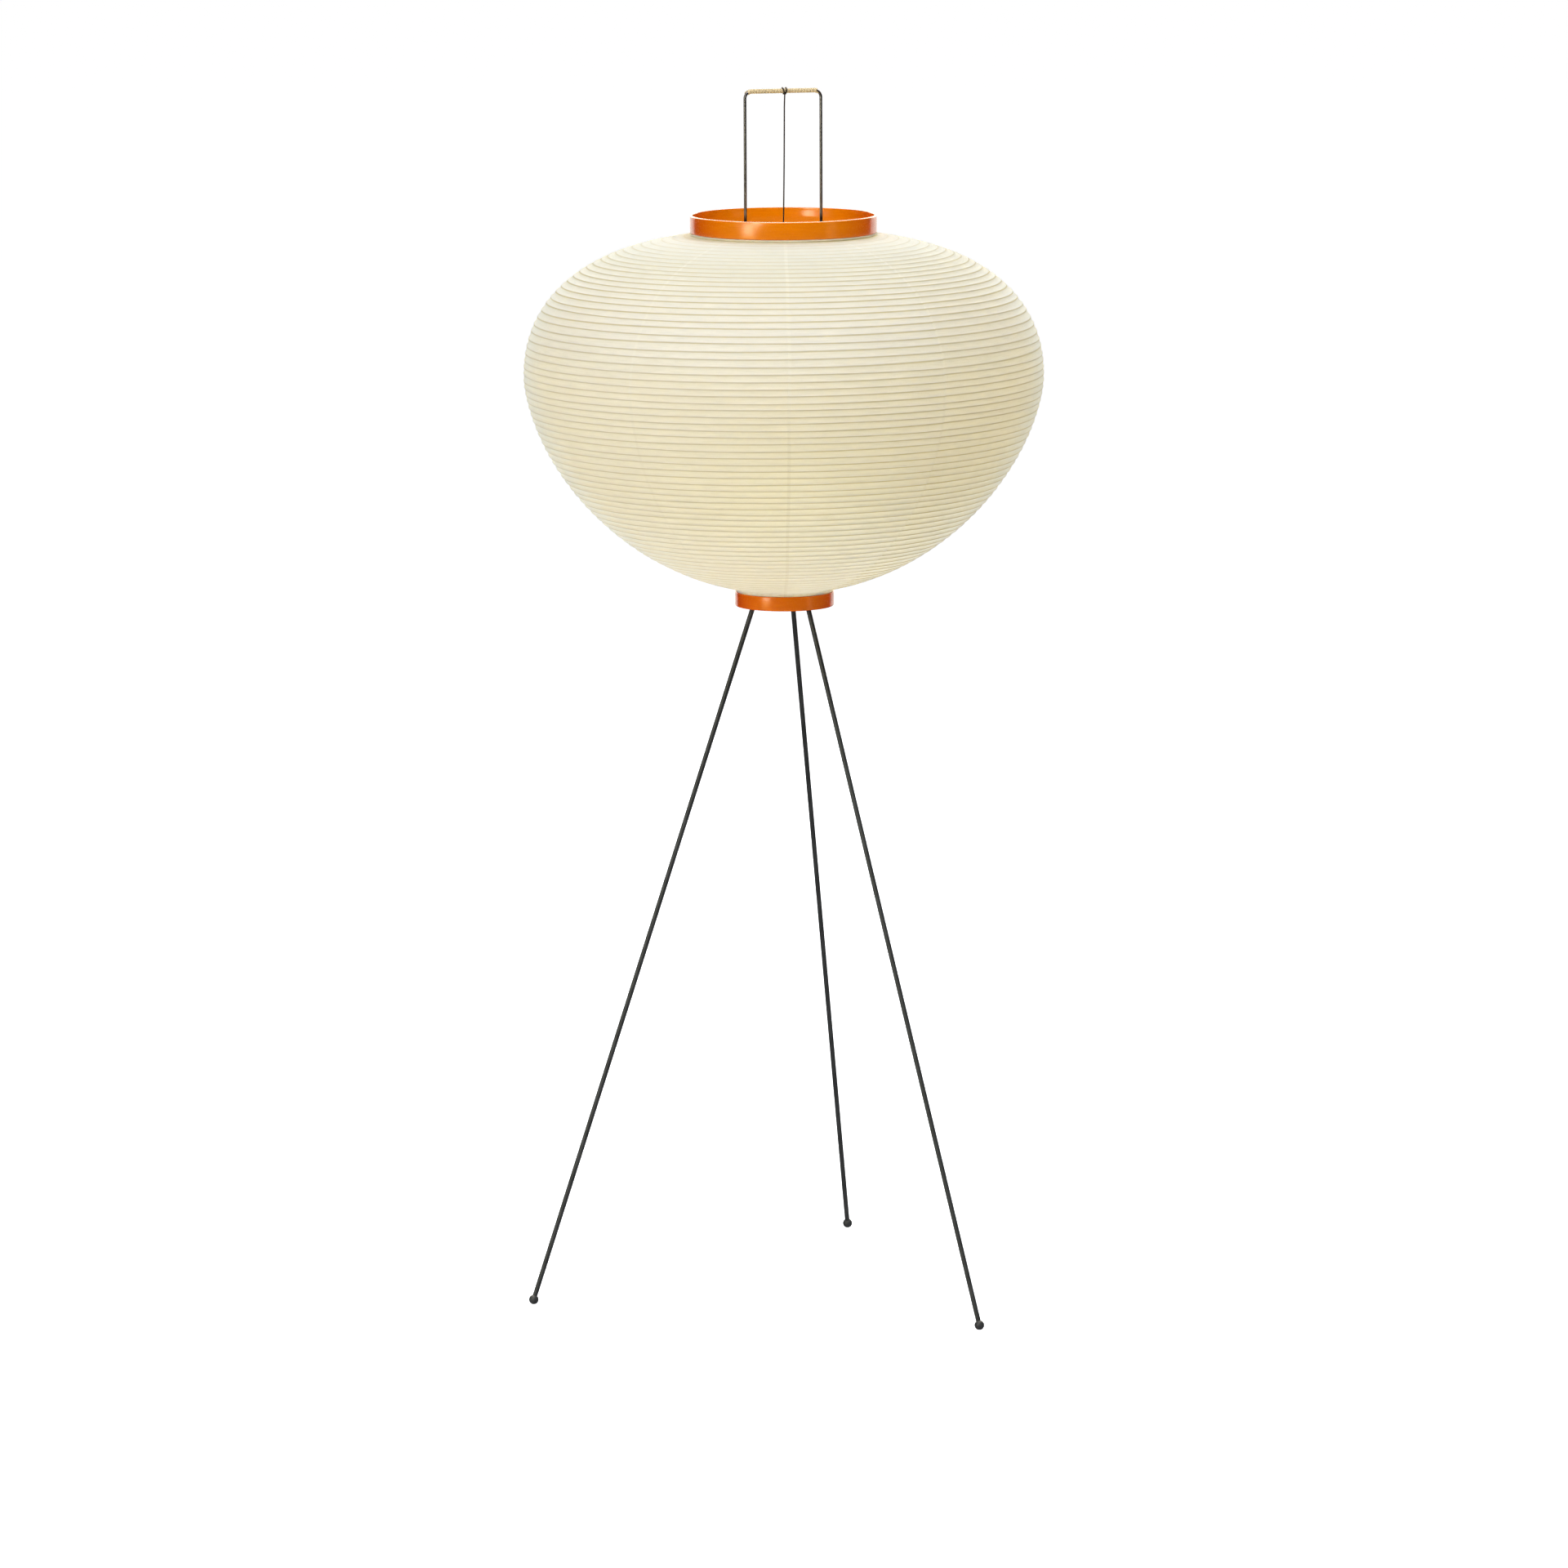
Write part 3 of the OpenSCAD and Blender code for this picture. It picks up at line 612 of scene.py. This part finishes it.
def metal(name, col, rough=(0.2, 0.35), scale=300.0, painted_shade_below=None):
    s = Shader(name)
    mott = s.noise(scale, 3.0, 0.6)
    tint = s.mix(s.span(mott, 0.35, 0.7, 0.0, 1.0), col, tuple(c * 0.78 for c in col))
    if painted_shade_below:
        # fitted to the picture: painted shade, darker below a height, where the rods are inside the top hoop
        z = s.node("ShaderNodeSeparateXYZ")
        s.put(z.inputs[0], s.node("ShaderNodeTexCoord").outputs["Object"])
        tint = s.mix(s.span(z.outputs[2], painted_shade_below[0], painted_shade_below[1], 1.0, 0.0), tint, painted_shade_below[2])
    return s.surface(s.principled(**{"Base Color": tint, "Metallic": 1.0,
                                     "Roughness": s.span(mott, 0.3, 0.7, *rough),
                                     "Normal": s.bump(mott, 0.06, 0.0001)}))


def plastic(name, col, rough=(0.35, 0.5), scale=500.0, bump=0.08):
    s = Shader(name)
    mott = s.noise(scale, 2.0, 0.5)
    tint = s.mix(s.span(mott, 0.35, 0.7, 0.0, 1.0), col, tuple(min(1, c * 1.12 + 0.004) for c in col))
    return s.surface(s.principled(**{"Base Color": tint, "Roughness": s.span(mott, 0.3, 0.7, *rough),
                                     "Normal": s.bump(mott, bump, 0.0002)}))


def opal():
    """The bulb's diffuser, lit from within."""
    s = Shader("bulb_diffuser")
    pos = s.node("ShaderNodeTexCoord").outputs["Object"]
    sep = s.node("ShaderNodeSeparateXYZ")
    s.put(sep.inputs[0], pos)
    lift = s.span(sep.outputs[2], 0.806, 0.836, 0.55, 1.0)
    haze = s.noise(90.0, 2.0, 0.5, vector=pos)
    col = s.mix(s.span(haze, 0.3, 0.7, 0.0, 1.0), (0.86, 0.84, 0.79), (0.90, 0.88, 0.84))
    warm = s.mix(lift, (1.0, 0.60, 0.28), (1.0, 0.74, 0.42))
    return s.surface(s.principled(**{"Base Color": col, "Roughness": s.span(haze, 0.3, 0.7, 0.30, 0.42),
                                     "Emission Color": warm, "Emission Strength": BULB_GLOW}))


BULB_GLOW = 13.5

M_PAPER = washi()
M_BAMBOO = bamboo()
M_LACQUER = lacquer()
# fitted to the picture: painted shade, the lower hoop, in the lantern's shade, takes a darker and redder copy of the
# lacquer
M_LACQUER_SHADED = lacquer("orange_lacquer_shaded", (0.805, 0.146, 0.0), (0.850, 0.174, 0.0), (0.650, 0.072, 0.0))
M_STEEL = black_steel()
M_ROD = metal("frame_steel", (0.235, 0.222, 0.248), (0.36, 0.42), scale=60.0, painted_shade_below=(1.112, 1.120, (0.050, 0.036, 0.030)))
M_WIRE = annealed_wire()
M_CANE = cane()
M_BRASS = metal("brass_parts", (0.72, 0.52, 0.22))
M_CAP = metal("cap_metal", (0.70, 0.70, 0.68), (0.18, 0.3))
M_BLACK = plastic("black_plastic", (0.022, 0.022, 0.022))
M_WHITE = plastic("white_plastic", (0.78, 0.77, 0.74), (0.25, 0.35))
M_PORCELAIN = plastic("porcelain", (0.74, 0.71, 0.62), (0.45, 0.6), 260.0)
M_BULB_BLACK = plastic("bulb_black", (0.03, 0.028, 0.028), (0.15, 0.25))
M_OPAL = opal()


# ------------------------------------------------------------------ lantern paper
def make_paper():
    """One continuous sheet whose rows follow the bamboo's helix, so that every
    turn shows as a ridge with the paper drawn in a little between two turns."""
    cols = 152
    # places across one band, as a share of the pitch, and the outward offset
    # there in mm: a ridge over the strip, then the paper drawn in
    ridge = {0.0: 0.0, 0.05: -0.05, 0.11: -0.36, 0.22: -0.70, 0.38: -0.96, 0.55: -1.00,
             0.72: -0.82, 0.89: -0.40, 0.95: -0.05}
    marks = sorted(ridge)
    turns = range(-2, BANDS + 2)
    phases = [(k + f, ridge[f]) for k in turns for f in marks]
    n = len(marks)
    rows = len(phases)
    az = np.arange(cols) * 2 * math.pi / cols
    arc = np.empty((rows, cols))
    out = np.empty((rows, cols))
    for i, (p, d) in enumerate(phases):
        arc[i] = arc_of(p, az)
        ease = np.clip(np.minimum(arc[i], TOTAL - arc[i]) / 6.0, 0, 1)
        calm = 0.35 + 0.65 * np.clip((TOTAL - arc[i]) / 95.0, 0, 1) ** 1.2
        each = np.interp(arc[i], [q[0] for q in _PITCH], [q[1] for q in _PITCH]) / 8.2
        out[i] = d * ease * calm * np.minimum(each, 1.1) ** 1.6 * 0.88
    r, z, nr, nz = on_curve(arc)
    # the sheet isn't quite even
    for i in range(rows):
        for j in range(cols):
            q = Vector((r[i, j] * math.cos(az[j]), r[i, j] * math.sin(az[j]), z[i, j]))
            out[i, j] += 0.16 * noise.noise(q * 0.022)
    r = r + nr * out
    z = z + nz * out
    top_end = np.isclose(arc, TOTAL)
    low_end = np.isclose(arc, 0.0)
    # the ends are drawn straight into the hoops
    r = np.where(top_end, NECK_TOP_R - 0.4, r)
    z = np.where(top_end, Z1 - 0.3, z)
    r = np.where(low_end, NECK_LOW_R - 0.3, r)
    z = np.where(low_end, Z0 + 0.2, z)
    # of the clamped rows only the last is kept on each column
    verts, index = [], -np.ones((rows + 1, cols), int)
    first = [max(i for i in range(rows) if low_end[i, j]) for j in range(cols)]
    last = [min(i for i in range(rows) if top_end[i, j]) for j in range(cols)]
    for j in range(cols):
        for i in range(first[j], last[j] + 1):
            index[i, j] = len(verts)
            verts.append((r[i, j] * math.cos(az[j]) * MM, r[i, j] * math.sin(az[j]) * MM, z[i, j] * MM))
    faces, uvs = [], []

    def corner(i, j):
        """vertex and uv of row i on column j, where column cols is column 0 a turn on"""
        if j == cols:
            i2 = i + n
            f, l = first[0], last[0]
            return index[min(max(i2, f), l), 0], (1.0, phases[i][0]), f <= i2 <= l
        return (index[min(max(i, first[j]), last[j]), j], (j / cols, phases[i][0]),
                first[j] <= i <= last[j])

    for j in range(cols):
        for i in range(rows - 1):
            ring = [corner(i, j), corner(i, j + 1), corner(i + 1, j + 1), corner(i + 1, j)]
            keep = []
            for v, uv, _ in ring:
                if v not in [k[0] for k in keep]:
                    keep.append((int(v), uv))
            if len(keep) < 3:
                continue
            faces.append([k[0] for k in keep])
            uvs += [k[1] for k in keep]
    # necks: straight bands up and down into the hoops
    ends = []
    for row, steps, uvp in (
        (last, [(NECK_TOP_R - 0.1, Z1 + 0.30), (NECK_TOP_R + 0.9, Z1 + 0.60), (NECK_TOP_R + 1.35, Z1 + 1.05),
                (NECK_TOP_R + 1.3, Z1 + 1.65), (NECK_TOP_R + 0.7, NECK_TOP_Z + 0.1), (NECK_TOP_R - 1.2, NECK_TOP_Z + 0.1)],
         BANDS + 0.5),
        (first, [(NECK_LOW_R - 0.6, Z0 - 0.6), (NECK_LOW_R - 0.75, NECK_LOW_Z - 0.2), (NECK_LOW_R - 1.9, NECK_LOW_Z - 0.2)], 0.5),
    ):
        prev = [index[row[j], j] for j in range(cols)]
        for rr, zz in steps:
            cur = []
            for j in range(cols):
                cur.append(len(verts))
                verts.append((rr * math.cos(az[j]) * MM, rr * math.sin(az[j]) * MM, zz * MM))
            for j in range(cols):
                k = (j + 1) % cols
                quad = (prev[j], prev[k], cur[k], cur[j])
                faces.append(quad if row is last else quad[::-1])
                u = [(j / cols, uvp), ((j + 1) / cols, uvp), ((j + 1) / cols, uvp), (j / cols, uvp)]
                uvs += u if row is last else u[::-1]
            prev = cur
    ob = mesh_object("lantern_paper", verts, faces, uvs)
    return ob


paper = make_paper()
assign(paper, M_PAPER)
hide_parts(*["shade_gore_%d" % (k + 1) for k in range(10)])


def make_strip():
    """The bamboo strip, wound from hoop to hoop inside the paper."""
    per = 128
    total = BANDS * per
    wide, thick = 1.15, 0.75
    sec = [(-wide / 2, 0.0), (-wide / 2 * 0.8, thick * 0.5), (wide / 2 * 0.8, thick * 0.5), (wide / 2, 0.0),
           (wide / 2 * 0.8, -thick * 0.5), (-wide / 2 * 0.8, -thick * 0.5)]
    m = len(sec)
    verts, faces, uvs = [], [], []
    ring = 0
    k = np.arange(total + 1)
    turn = np.floor(k / per)
    az = (k % per) * 2 * math.pi / per
    s = arc_of(turn, az)
    r, z, nr, nz = on_curve(s)
    for i in range(total + 1):
        if s[i] < 2.0 or s[i] > TOTAL - 2.0:
            continue
        swell = 1.0 + 0.18 * max(0.0, noise.noise(Vector((i * 0.035, 3.1, 7.7))) - 0.2)
        c, d = math.cos(az[i]), math.sin(az[i])
        for a, b in sec:
            rad = r[i] + nr[i] * (b - 0.75) - nz[i] * a * swell
            hgt = z[i] + nz[i] * (b - 0.75) + nr[i] * a * swell
            verts.append((rad * c * MM, rad * d * MM, hgt * MM))
        ring += 1
    for i in range(ring - 1):
        for j in range(m):
            j2 = (j + 1) % m
            faces.append((i * m + j, (i + 1) * m + j, (i + 1) * m + j2, i * m + j2))
    faces.append(tuple(range(m)))
    e = (ring - 1) * m
    faces.append(tuple(range(e, e + m))[::-1])
    return mesh_object("bamboo_strip", verts, faces)


strip = make_strip()
assign(strip, M_BAMBOO)
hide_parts("bamboo_ribs")


# ------------------------------------------------------------------ hoops
def rounded(r_in, r_out, z0, z1, rad, steps=5):
    """Profile of a hoop with rounded edges, counter-clockwise."""
    pts = []
    for cx, cz, a0 in ((r_out - rad, z0 + rad, -90), (r_out - rad, z1 - rad, 0),
                       (r_in + rad, z1 - rad, 90), (r_in + rad, z0 + rad, 180)):
        for i in range(steps + 1):
            a = math.radians(a0 + 90 * i / steps)
            pts.append((cx + rad * math.cos(a), cz + rad * math.sin(a)))
    return pts


def bevelled(r_in, r_out, z0, z1, rad, run, depth, steps=7):
    """Hoop profile: the outer top edge is eased over, more in than down, and the
    inner face goes back in a slow wave below the top, guessed from its highlight."""
    pts = []
    for i in range(6):
        a = math.radians(-90 + 18 * i)
        pts.append((r_out - rad + rad * math.cos(a), z0 + rad + rad * math.sin(a)))
    for i in range(steps + 1):
        a = math.pi / 2 * i / steps
        pts.append((r_out - 1.6 + 1.6 * math.cos(a), z1 - 1.1 + 1.1 * math.sin(a)))
    pts.append((r_in + depth + 0.20, z1 - 0.12))
    pts.append((r_in + depth, z1 - 0.55))
    for i in range(2 * steps + 1):
        f = i / (2 * steps)
        pts.append((r_in + depth * (1 - f * f * (3 - 2 * f)), z1 - 1.8 - run * f))
    for i in range(6):
        a = math.radians(180 + 18 * i)
        pts.append((r_in + rad + rad * math.cos(a), z0 + rad + rad * math.sin(a)))
    return pts


top_hoop = lathe("top_hoop", bevelled(92.0, 95.0, 1099.2, 1117.2, 0.9, 8.2, 0.80), 224)
assign(top_hoop, M_LACQUER)
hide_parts("top_ring")
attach(top_hoop, "top_hoop")

low_hoop = lathe("lower_hoop", rounded(47.8, 50.8, 717.2, 731.8, 0.8), 160)
assign(low_hoop, M_LACQUER_SHADED)
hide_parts("lower_ring")
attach(low_hoop, "stand")

# ------------------------------------------------------------------ handle binding
HZ, BEND, HALF = 1242.6, 7.0, 40.0


def bar_point(x):
    """Centre of the frame's bar at run x from the middle, in mm, and its direction."""
    side = 1 if x >= 0 else -1
    a = abs(x)
    flat = HALF - BEND
    if a <= flat:
        return Vector((x, 0, HZ)), Vector((1, 0, 0))
    ang = (a - flat) / BEND
    return (Vector((side * (flat + BEND * math.sin(ang)), 0, HZ - BEND * (1 - math.cos(ang)))),
            Vector((math.cos(ang), 0, -side * math.sin(ang))))


def make_binding():
    pitch, wide, thick = 3.15, 3.14, 0.88
    x0, x1 = -38.2, 36.4
    per = 28
    steps = int((x1 - x0) / pitch * per)
    sec = []
    for i in range(9):                       # a crowned skin side
        t = i / 8 * 2 - 1
        sec.append((t * wide / 2, thick * (0.80 + 0.20 * (1 - abs(t) ** 2.6))))
    sec += [(wide / 2 * 0.96, 0.02), (-wide / 2 * 0.96, 0.02)]
    m = len(sec)
    verts, faces, uvs = [], [], []
    for i in range(steps + 1):
        x = x0 + (x1 - x0) * i / steps
        th = 2 * math.pi * i / per
        for a, b in sec:
            slant = x + a * 0.985
            c, t = bar_point(slant)
            up = Vector((0, 1, 0)).cross(t).normalized() * -1
            if up.z < 0:
                up = -up
            rad = 1.5 + b
            jig = 0.05 * noise.noise(Vector((i * 0.05, a, 1.7)))
            v = c + (up * math.cos(th) + Vector((0, 1, 0)) * math.sin(th)) * (rad + jig)
            verts.append(v * MM)
    run = pitch * 0 + 2 * math.pi * 1.9
    for i in range(steps):
        for j in range(m):
            j2 = (j + 1) % m
            faces.append((i * m + j, i * m + j2, (i + 1) * m + j2, (i + 1) * m + j))
            u0, u1 = j / m, (j + 1) / m
            v0, v1 = i / per * run * MM, (i + 1) / per * run * MM
            uvs += [(u0, v0), (u1, v0), (u1, v1), (u0, v1)]
    faces.append(tuple(range(m))[::-1])
    uvs += [(0, 0)] * m
    e = steps * m
    faces.append(tuple(range(e, e + m)))
    uvs += [(0, 0)] * m
    return mesh_object("cane_binding", verts, faces, uvs)


binding = make_binding()
assign(binding, M_CANE)
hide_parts("handle_wrap")
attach(binding, "lift_frame")


def make_hanger():
    """Wire: two turns over the binding that part in a V in front, a straight drop
    from behind the bar, and the hook."""
    wire = 0.72
    turn_r = 2.4 + wire + 0.08
    # run of the winding: angle from below the bar, forwards over it, and place along it
    keys = [(-34, 0.70), (0, 0.90), (180, -0.60), (360, 2.32), (540, 3.20), (628, 2.95)]
    pts = []
    for (t0, x0), (t1, x1) in zip(keys, keys[1:]):
        steps = max(3, round((t1 - t0) / 11))
        for i in range(steps):
            f = i / steps
            e = f * f * (3 - 2 * f)
            th = math.radians(t0 + (t1 - t0) * f)
            pts.append(Vector((x0 + (x1 - x0) * e, -turn_r * math.sin(th), HZ - turn_r * math.cos(th))))
    th = math.radians(keys[-1][0])
    end = Vector((keys[-1][1], -turn_r * math.sin(th), HZ - turn_r * math.cos(th)))
    pts.append(end)
    # down
    zc, xc, hr = 1100.2, 1.75, 1.76
    fall = end.z - zc
    for i in range(1, 33):
        f = (i / 32) ** 1.5
        bow = 0.30 * math.sin(math.pi * f)
        pts.append(Vector(((end.x - 0.55 * min(1.0, f * 9)) * (1 - f) - 0.01 * f + bow * 0.4,
                           end.y * (1 - f) ** 1.6, end.z - fall * f)))
    for i in range(1, 13):
        a = math.pi * i / 12
        pts.append(Vector((xc - hr * math.cos(a), 0, zc - hr * math.sin(a))))
    for i in range(1, 5):
        pts.append(Vector((xc + hr + 0.02 * i * i, 0, zc + 0.85 * i)))
    return sweep("hanger", [p * MM for p in pts], circle(wire * MM, 12), up=(0, 1, 0))


hanger = make_hanger()
assign(hanger, M_WIRE)
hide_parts("hanger_wire")
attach(hanger, "lift_frame")

# ------------------------------------------------------------------ bulb
BZ, BR = 828.0, 30.0


def make_globe():
    cut = BZ - 20
    neck = math.sqrt(BR * BR - 400)
    a0 = math.asin(-20 / BR)
    pts = [(neck - 1.2, cut + 0.2)]
    pts.append((neck, cut + 0.1))
    for i in range(1, 30):
        a = a0 + (math.pi / 2 - a0) * i / 30
        pts.append((BR * math.cos(a), BZ + BR * math.sin(a)))
    prof = [(0.0, cut + 0.2)] + pts + [(0.0, BZ + BR)]
    return capped_lathe("bulb_globe", prof, 72)


globe = make_globe()
assign(globe, M_OPAL)
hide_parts("bulb_glass")
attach(globe, "bulb")


def make_thread_cap():
    """The bulb's screw cap with its rolled thread."""
    z0, z1 = 762.5, 786.0
    turns, per = 6, 48
    pitch = 3.6
    rows = []
    rise = 40
    for i in range(rise + 1):
        rows.append(z0 + 1.0 + (z1 - z0 - 1.2) * i / rise)
    verts, faces = [], []
    for j in range(per):
        a = 2 * math.pi * j / per
        for z in rows:
            ease = max(0.0, min(1.0, (z - z0 - 1.0) / 2.0, (z1 - 1.0 - z) / 2.0))
            w = 0.5 + 0.5 * math.cos(2 * math.pi * ((z - z0) / pitch - j / per))
            r = 12.45 + 0.72 * w * ease + 0.2 * (1 - ease)
            verts.append((r * math.cos(a) * MM, r * math.sin(a) * MM, z * MM))
    n = len(rows)
    for j in range(per):
        k = (j + 1) % per
        for i in range(n - 1):
            faces.append((j * n + i, k * n + i, k * n + i + 1, j * n + i + 1))
    # the turned-in bottom
    prev = [j * n for j in range(per)]
    for rr, zz in ((12.0, z0 + 0.35), (10.5, z0), (7.05, z0)):
        cur = []
        for j in range(per):
            a = 2 * math.pi * j / per
            cur.append(len(verts))
            verts.append((rr * math.cos(a) * MM, rr * math.sin(a) * MM, zz * MM))
        for j in range(per):
            k = (j + 1) % per
            faces.append((prev[k], prev[j], cur[j], cur[k]))
        prev = cur
    return mesh_object("bulb_screw_cap", verts, faces)


cap = make_thread_cap()
assign(cap, M_CAP)
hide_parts("bulb_cap")
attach(cap, "bulb")

# ------------------------------------------------------------------ CAD nodes that stay
KEEP = {
    "top_crossbar": M_WIRE, "lift_frame": M_ROD,
    "frame_socket_left": M_STEEL, "frame_socket_right": M_STEEL, "hub_plate": M_STEEL,
    "leg_socket_1": M_STEEL, "leg_socket_2": M_STEEL, "leg_socket_3": M_STEEL, "leg_screws": M_WIRE,
    "leg_1": M_STEEL, "leg_2": M_STEEL, "leg_3": M_STEEL,
    "foot_1": M_STEEL, "foot_2": M_STEEL, "foot_3": M_STEEL,
    "mounting_nipple": M_BRASS, "locknuts": M_BRASS, "cord_gland": M_BLACK,
    "lampholder_base": M_BLACK, "terminal_block": M_PORCELAIN, "lampholder_skirt": M_BLACK,
    "screw_shell": M_BRASS, "centre_contact": M_BRASS, "bulb_neck": M_WHITE,
    "bulb_insulator": M_BULB_BLACK, "bulb_contact": M_CAP,
}
for name, mat in KEEP.items():
    assign(NODES[name], mat)

# ------------------------------------------------------------------ the paper and the strip go with the stand
for ob in (paper, strip):
    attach(ob, "stand")
    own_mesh(ob)

# ------------------------------------------------------------------ studio
def studio():
    w = 60.0
    for name, z in (("studio_floor", 0.0), ("studio_bounce", -0.002)):
        me = bpy.data.meshes.new(name)
        me.from_pydata([(-w, -w, z), (w, -w, z), (w, w, z), (-w, w, z)], [], [(0, 1, 2, 3)])
        floor = bpy.data.objects.new(name, me)
        scene.collection.objects.link(floor)
        floor.visible_glossy = False
        s = Shader(name)
        if name == "studio_floor":
            # seen only: bright enough to stay white all the way back
            d = s.principled(**{"Base Color": (0.80, 0.80, 0.80), "Roughness": 0.9, "Specular IOR Level": 0.1,
                                "Emission Color": (1.0, 1.0, 1.0), "Emission Strength": 1.0})
            floor.visible_diffuse = floor.visible_transmission = floor.visible_shadow = False
        else:
            # throws light back up at the lamp
            d = s.principled(**{"Base Color": (0.80, 0.80, 0.80), "Roughness": 0.9, "Specular IOR Level": 0.1,
                                "Emission Color": (1.0, 1.0, 1.0), "Emission Strength": 0.276})
            floor.visible_camera = False
        me.materials.append(s.surface(d))

    world = bpy.data.worlds.new("studio_world")
    scene.world = world
    world.use_nodes = True
    bg = world.node_tree.nodes["Background"]
    bg.inputs[0].default_value = (1.0, 1.0, 1.0, 1)
    bg.inputs[1].default_value = 1.0
    # a white surround to look at; the soft lights below do the lighting
    for ray in ("diffuse", "glossy", "transmission", "scatter"):
        setattr(world.cycles_visibility, ray, False)

    def softbox(name, az, el, dist, size, power, aim=(0, 0, 0.93), gloss=True, diffuse=True, tint=(1, 1, 1)):
        """az is measured from the camera's side, positive to the camera's right."""
        data = bpy.data.lights.new(name, "AREA")
        data.shape = "RECTANGLE"
        data.size, data.size_y = size
        data.energy = power
        data.color = tint
        ob = bpy.data.objects.new(name, data)
        scene.collection.objects.link(ob)
        a = -math.pi / 2 - CAM_TURN + math.radians(az)
        e = math.radians(el)
        p = Vector((math.cos(a) * math.cos(e), math.sin(a) * math.cos(e), math.sin(e))) * dist + Vector(aim)
        ob.location = p
        ob.rotation_mode = "QUATERNION"
        ob.rotation_quaternion = (Vector(aim) - p).to_track_quat("-Z", "Y")
        ob.visible_camera = False
        ob.visible_glossy = gloss
        ob.visible_diffuse = diffuse
        ob.visible_transmission = diffuse
        return ob

    # soft light on the lamp
    for name, az, el, power in LIGHTS:
        softbox(name, az, el, 4.0, (1.4, 1.4), power, gloss=False, tint=DAYLIGHT)
    # what the lacquer and the rods mirror
    warm = (1.0, 0.97, 0.66)
    pale = (1.0, 0.93, 0.84)
    cream = (1.0, 0.92, 0.76)
    softbox("card_left", -43, -0.5, 4.0, (0.75, 0.82), 13, gloss=True, diffuse=False, tint=warm)
    softbox("card_left_low", -44, -11.5, 4.0, (1.2, 0.55), 6.2, gloss=True, diffuse=False, tint=(1.0, 0.82, 0.22))
    softbox("card_left_wide", -43, -1.0, 4.05, (1.50, 0.95), 10, gloss=True, diffuse=False, tint=warm)
    softbox("card_left_high", -33, 17, 4.0, (0.85, 1.7), 49, gloss=True, diffuse=False, tint=(1, 1.0, 0.76))
    softbox("card_right", 61, 0, 4.0, (0.9, 3.0), 4, gloss=True, diffuse=False, tint=warm)
    softbox("card_top", -8, 62, 3.6, (2.4, 1.8), 60, gloss=True, diffuse=False)
    softbox("card_back", 176, -6, 4.0, (6.6, 1.9), 42, gloss=True, diffuse=False, tint=pale)
    softbox("card_back_high", 180, 23, 4.0, (6.6, 3.0), 220, gloss=True, diffuse=False, tint=cream)
    softbox("card_over", 180, 72, 3.2, (3.4, 2.7), 260, gloss=True, diffuse=False, tint=cream)


DAYLIGHT = (0.874, 0.914, 1.0)
LIGHTS = (
    ("light_left", -50, 12, 53.2),
    ("light_right_side", 100, 12, 2.2),
    ("light_back_left", -140, 15, 11.9),
    ("light_back_right", 140, 15, 42.2),
    ("light_back", 180, 15, 43.3),
    ("light_left_high", -60, 50, 44.7),
    ("light_front_high", 0, 50, 64.1),
    ("light_right_high", 60, 50, 71.4),
    ("light_back_high", 180, 50, 43.1),
)


studio()
scene.view_settings.view_transform = "Standard"
scene.view_settings.look = "None"
scene.view_settings.exposure = 0.0
scene.view_settings.gamma = 1.0
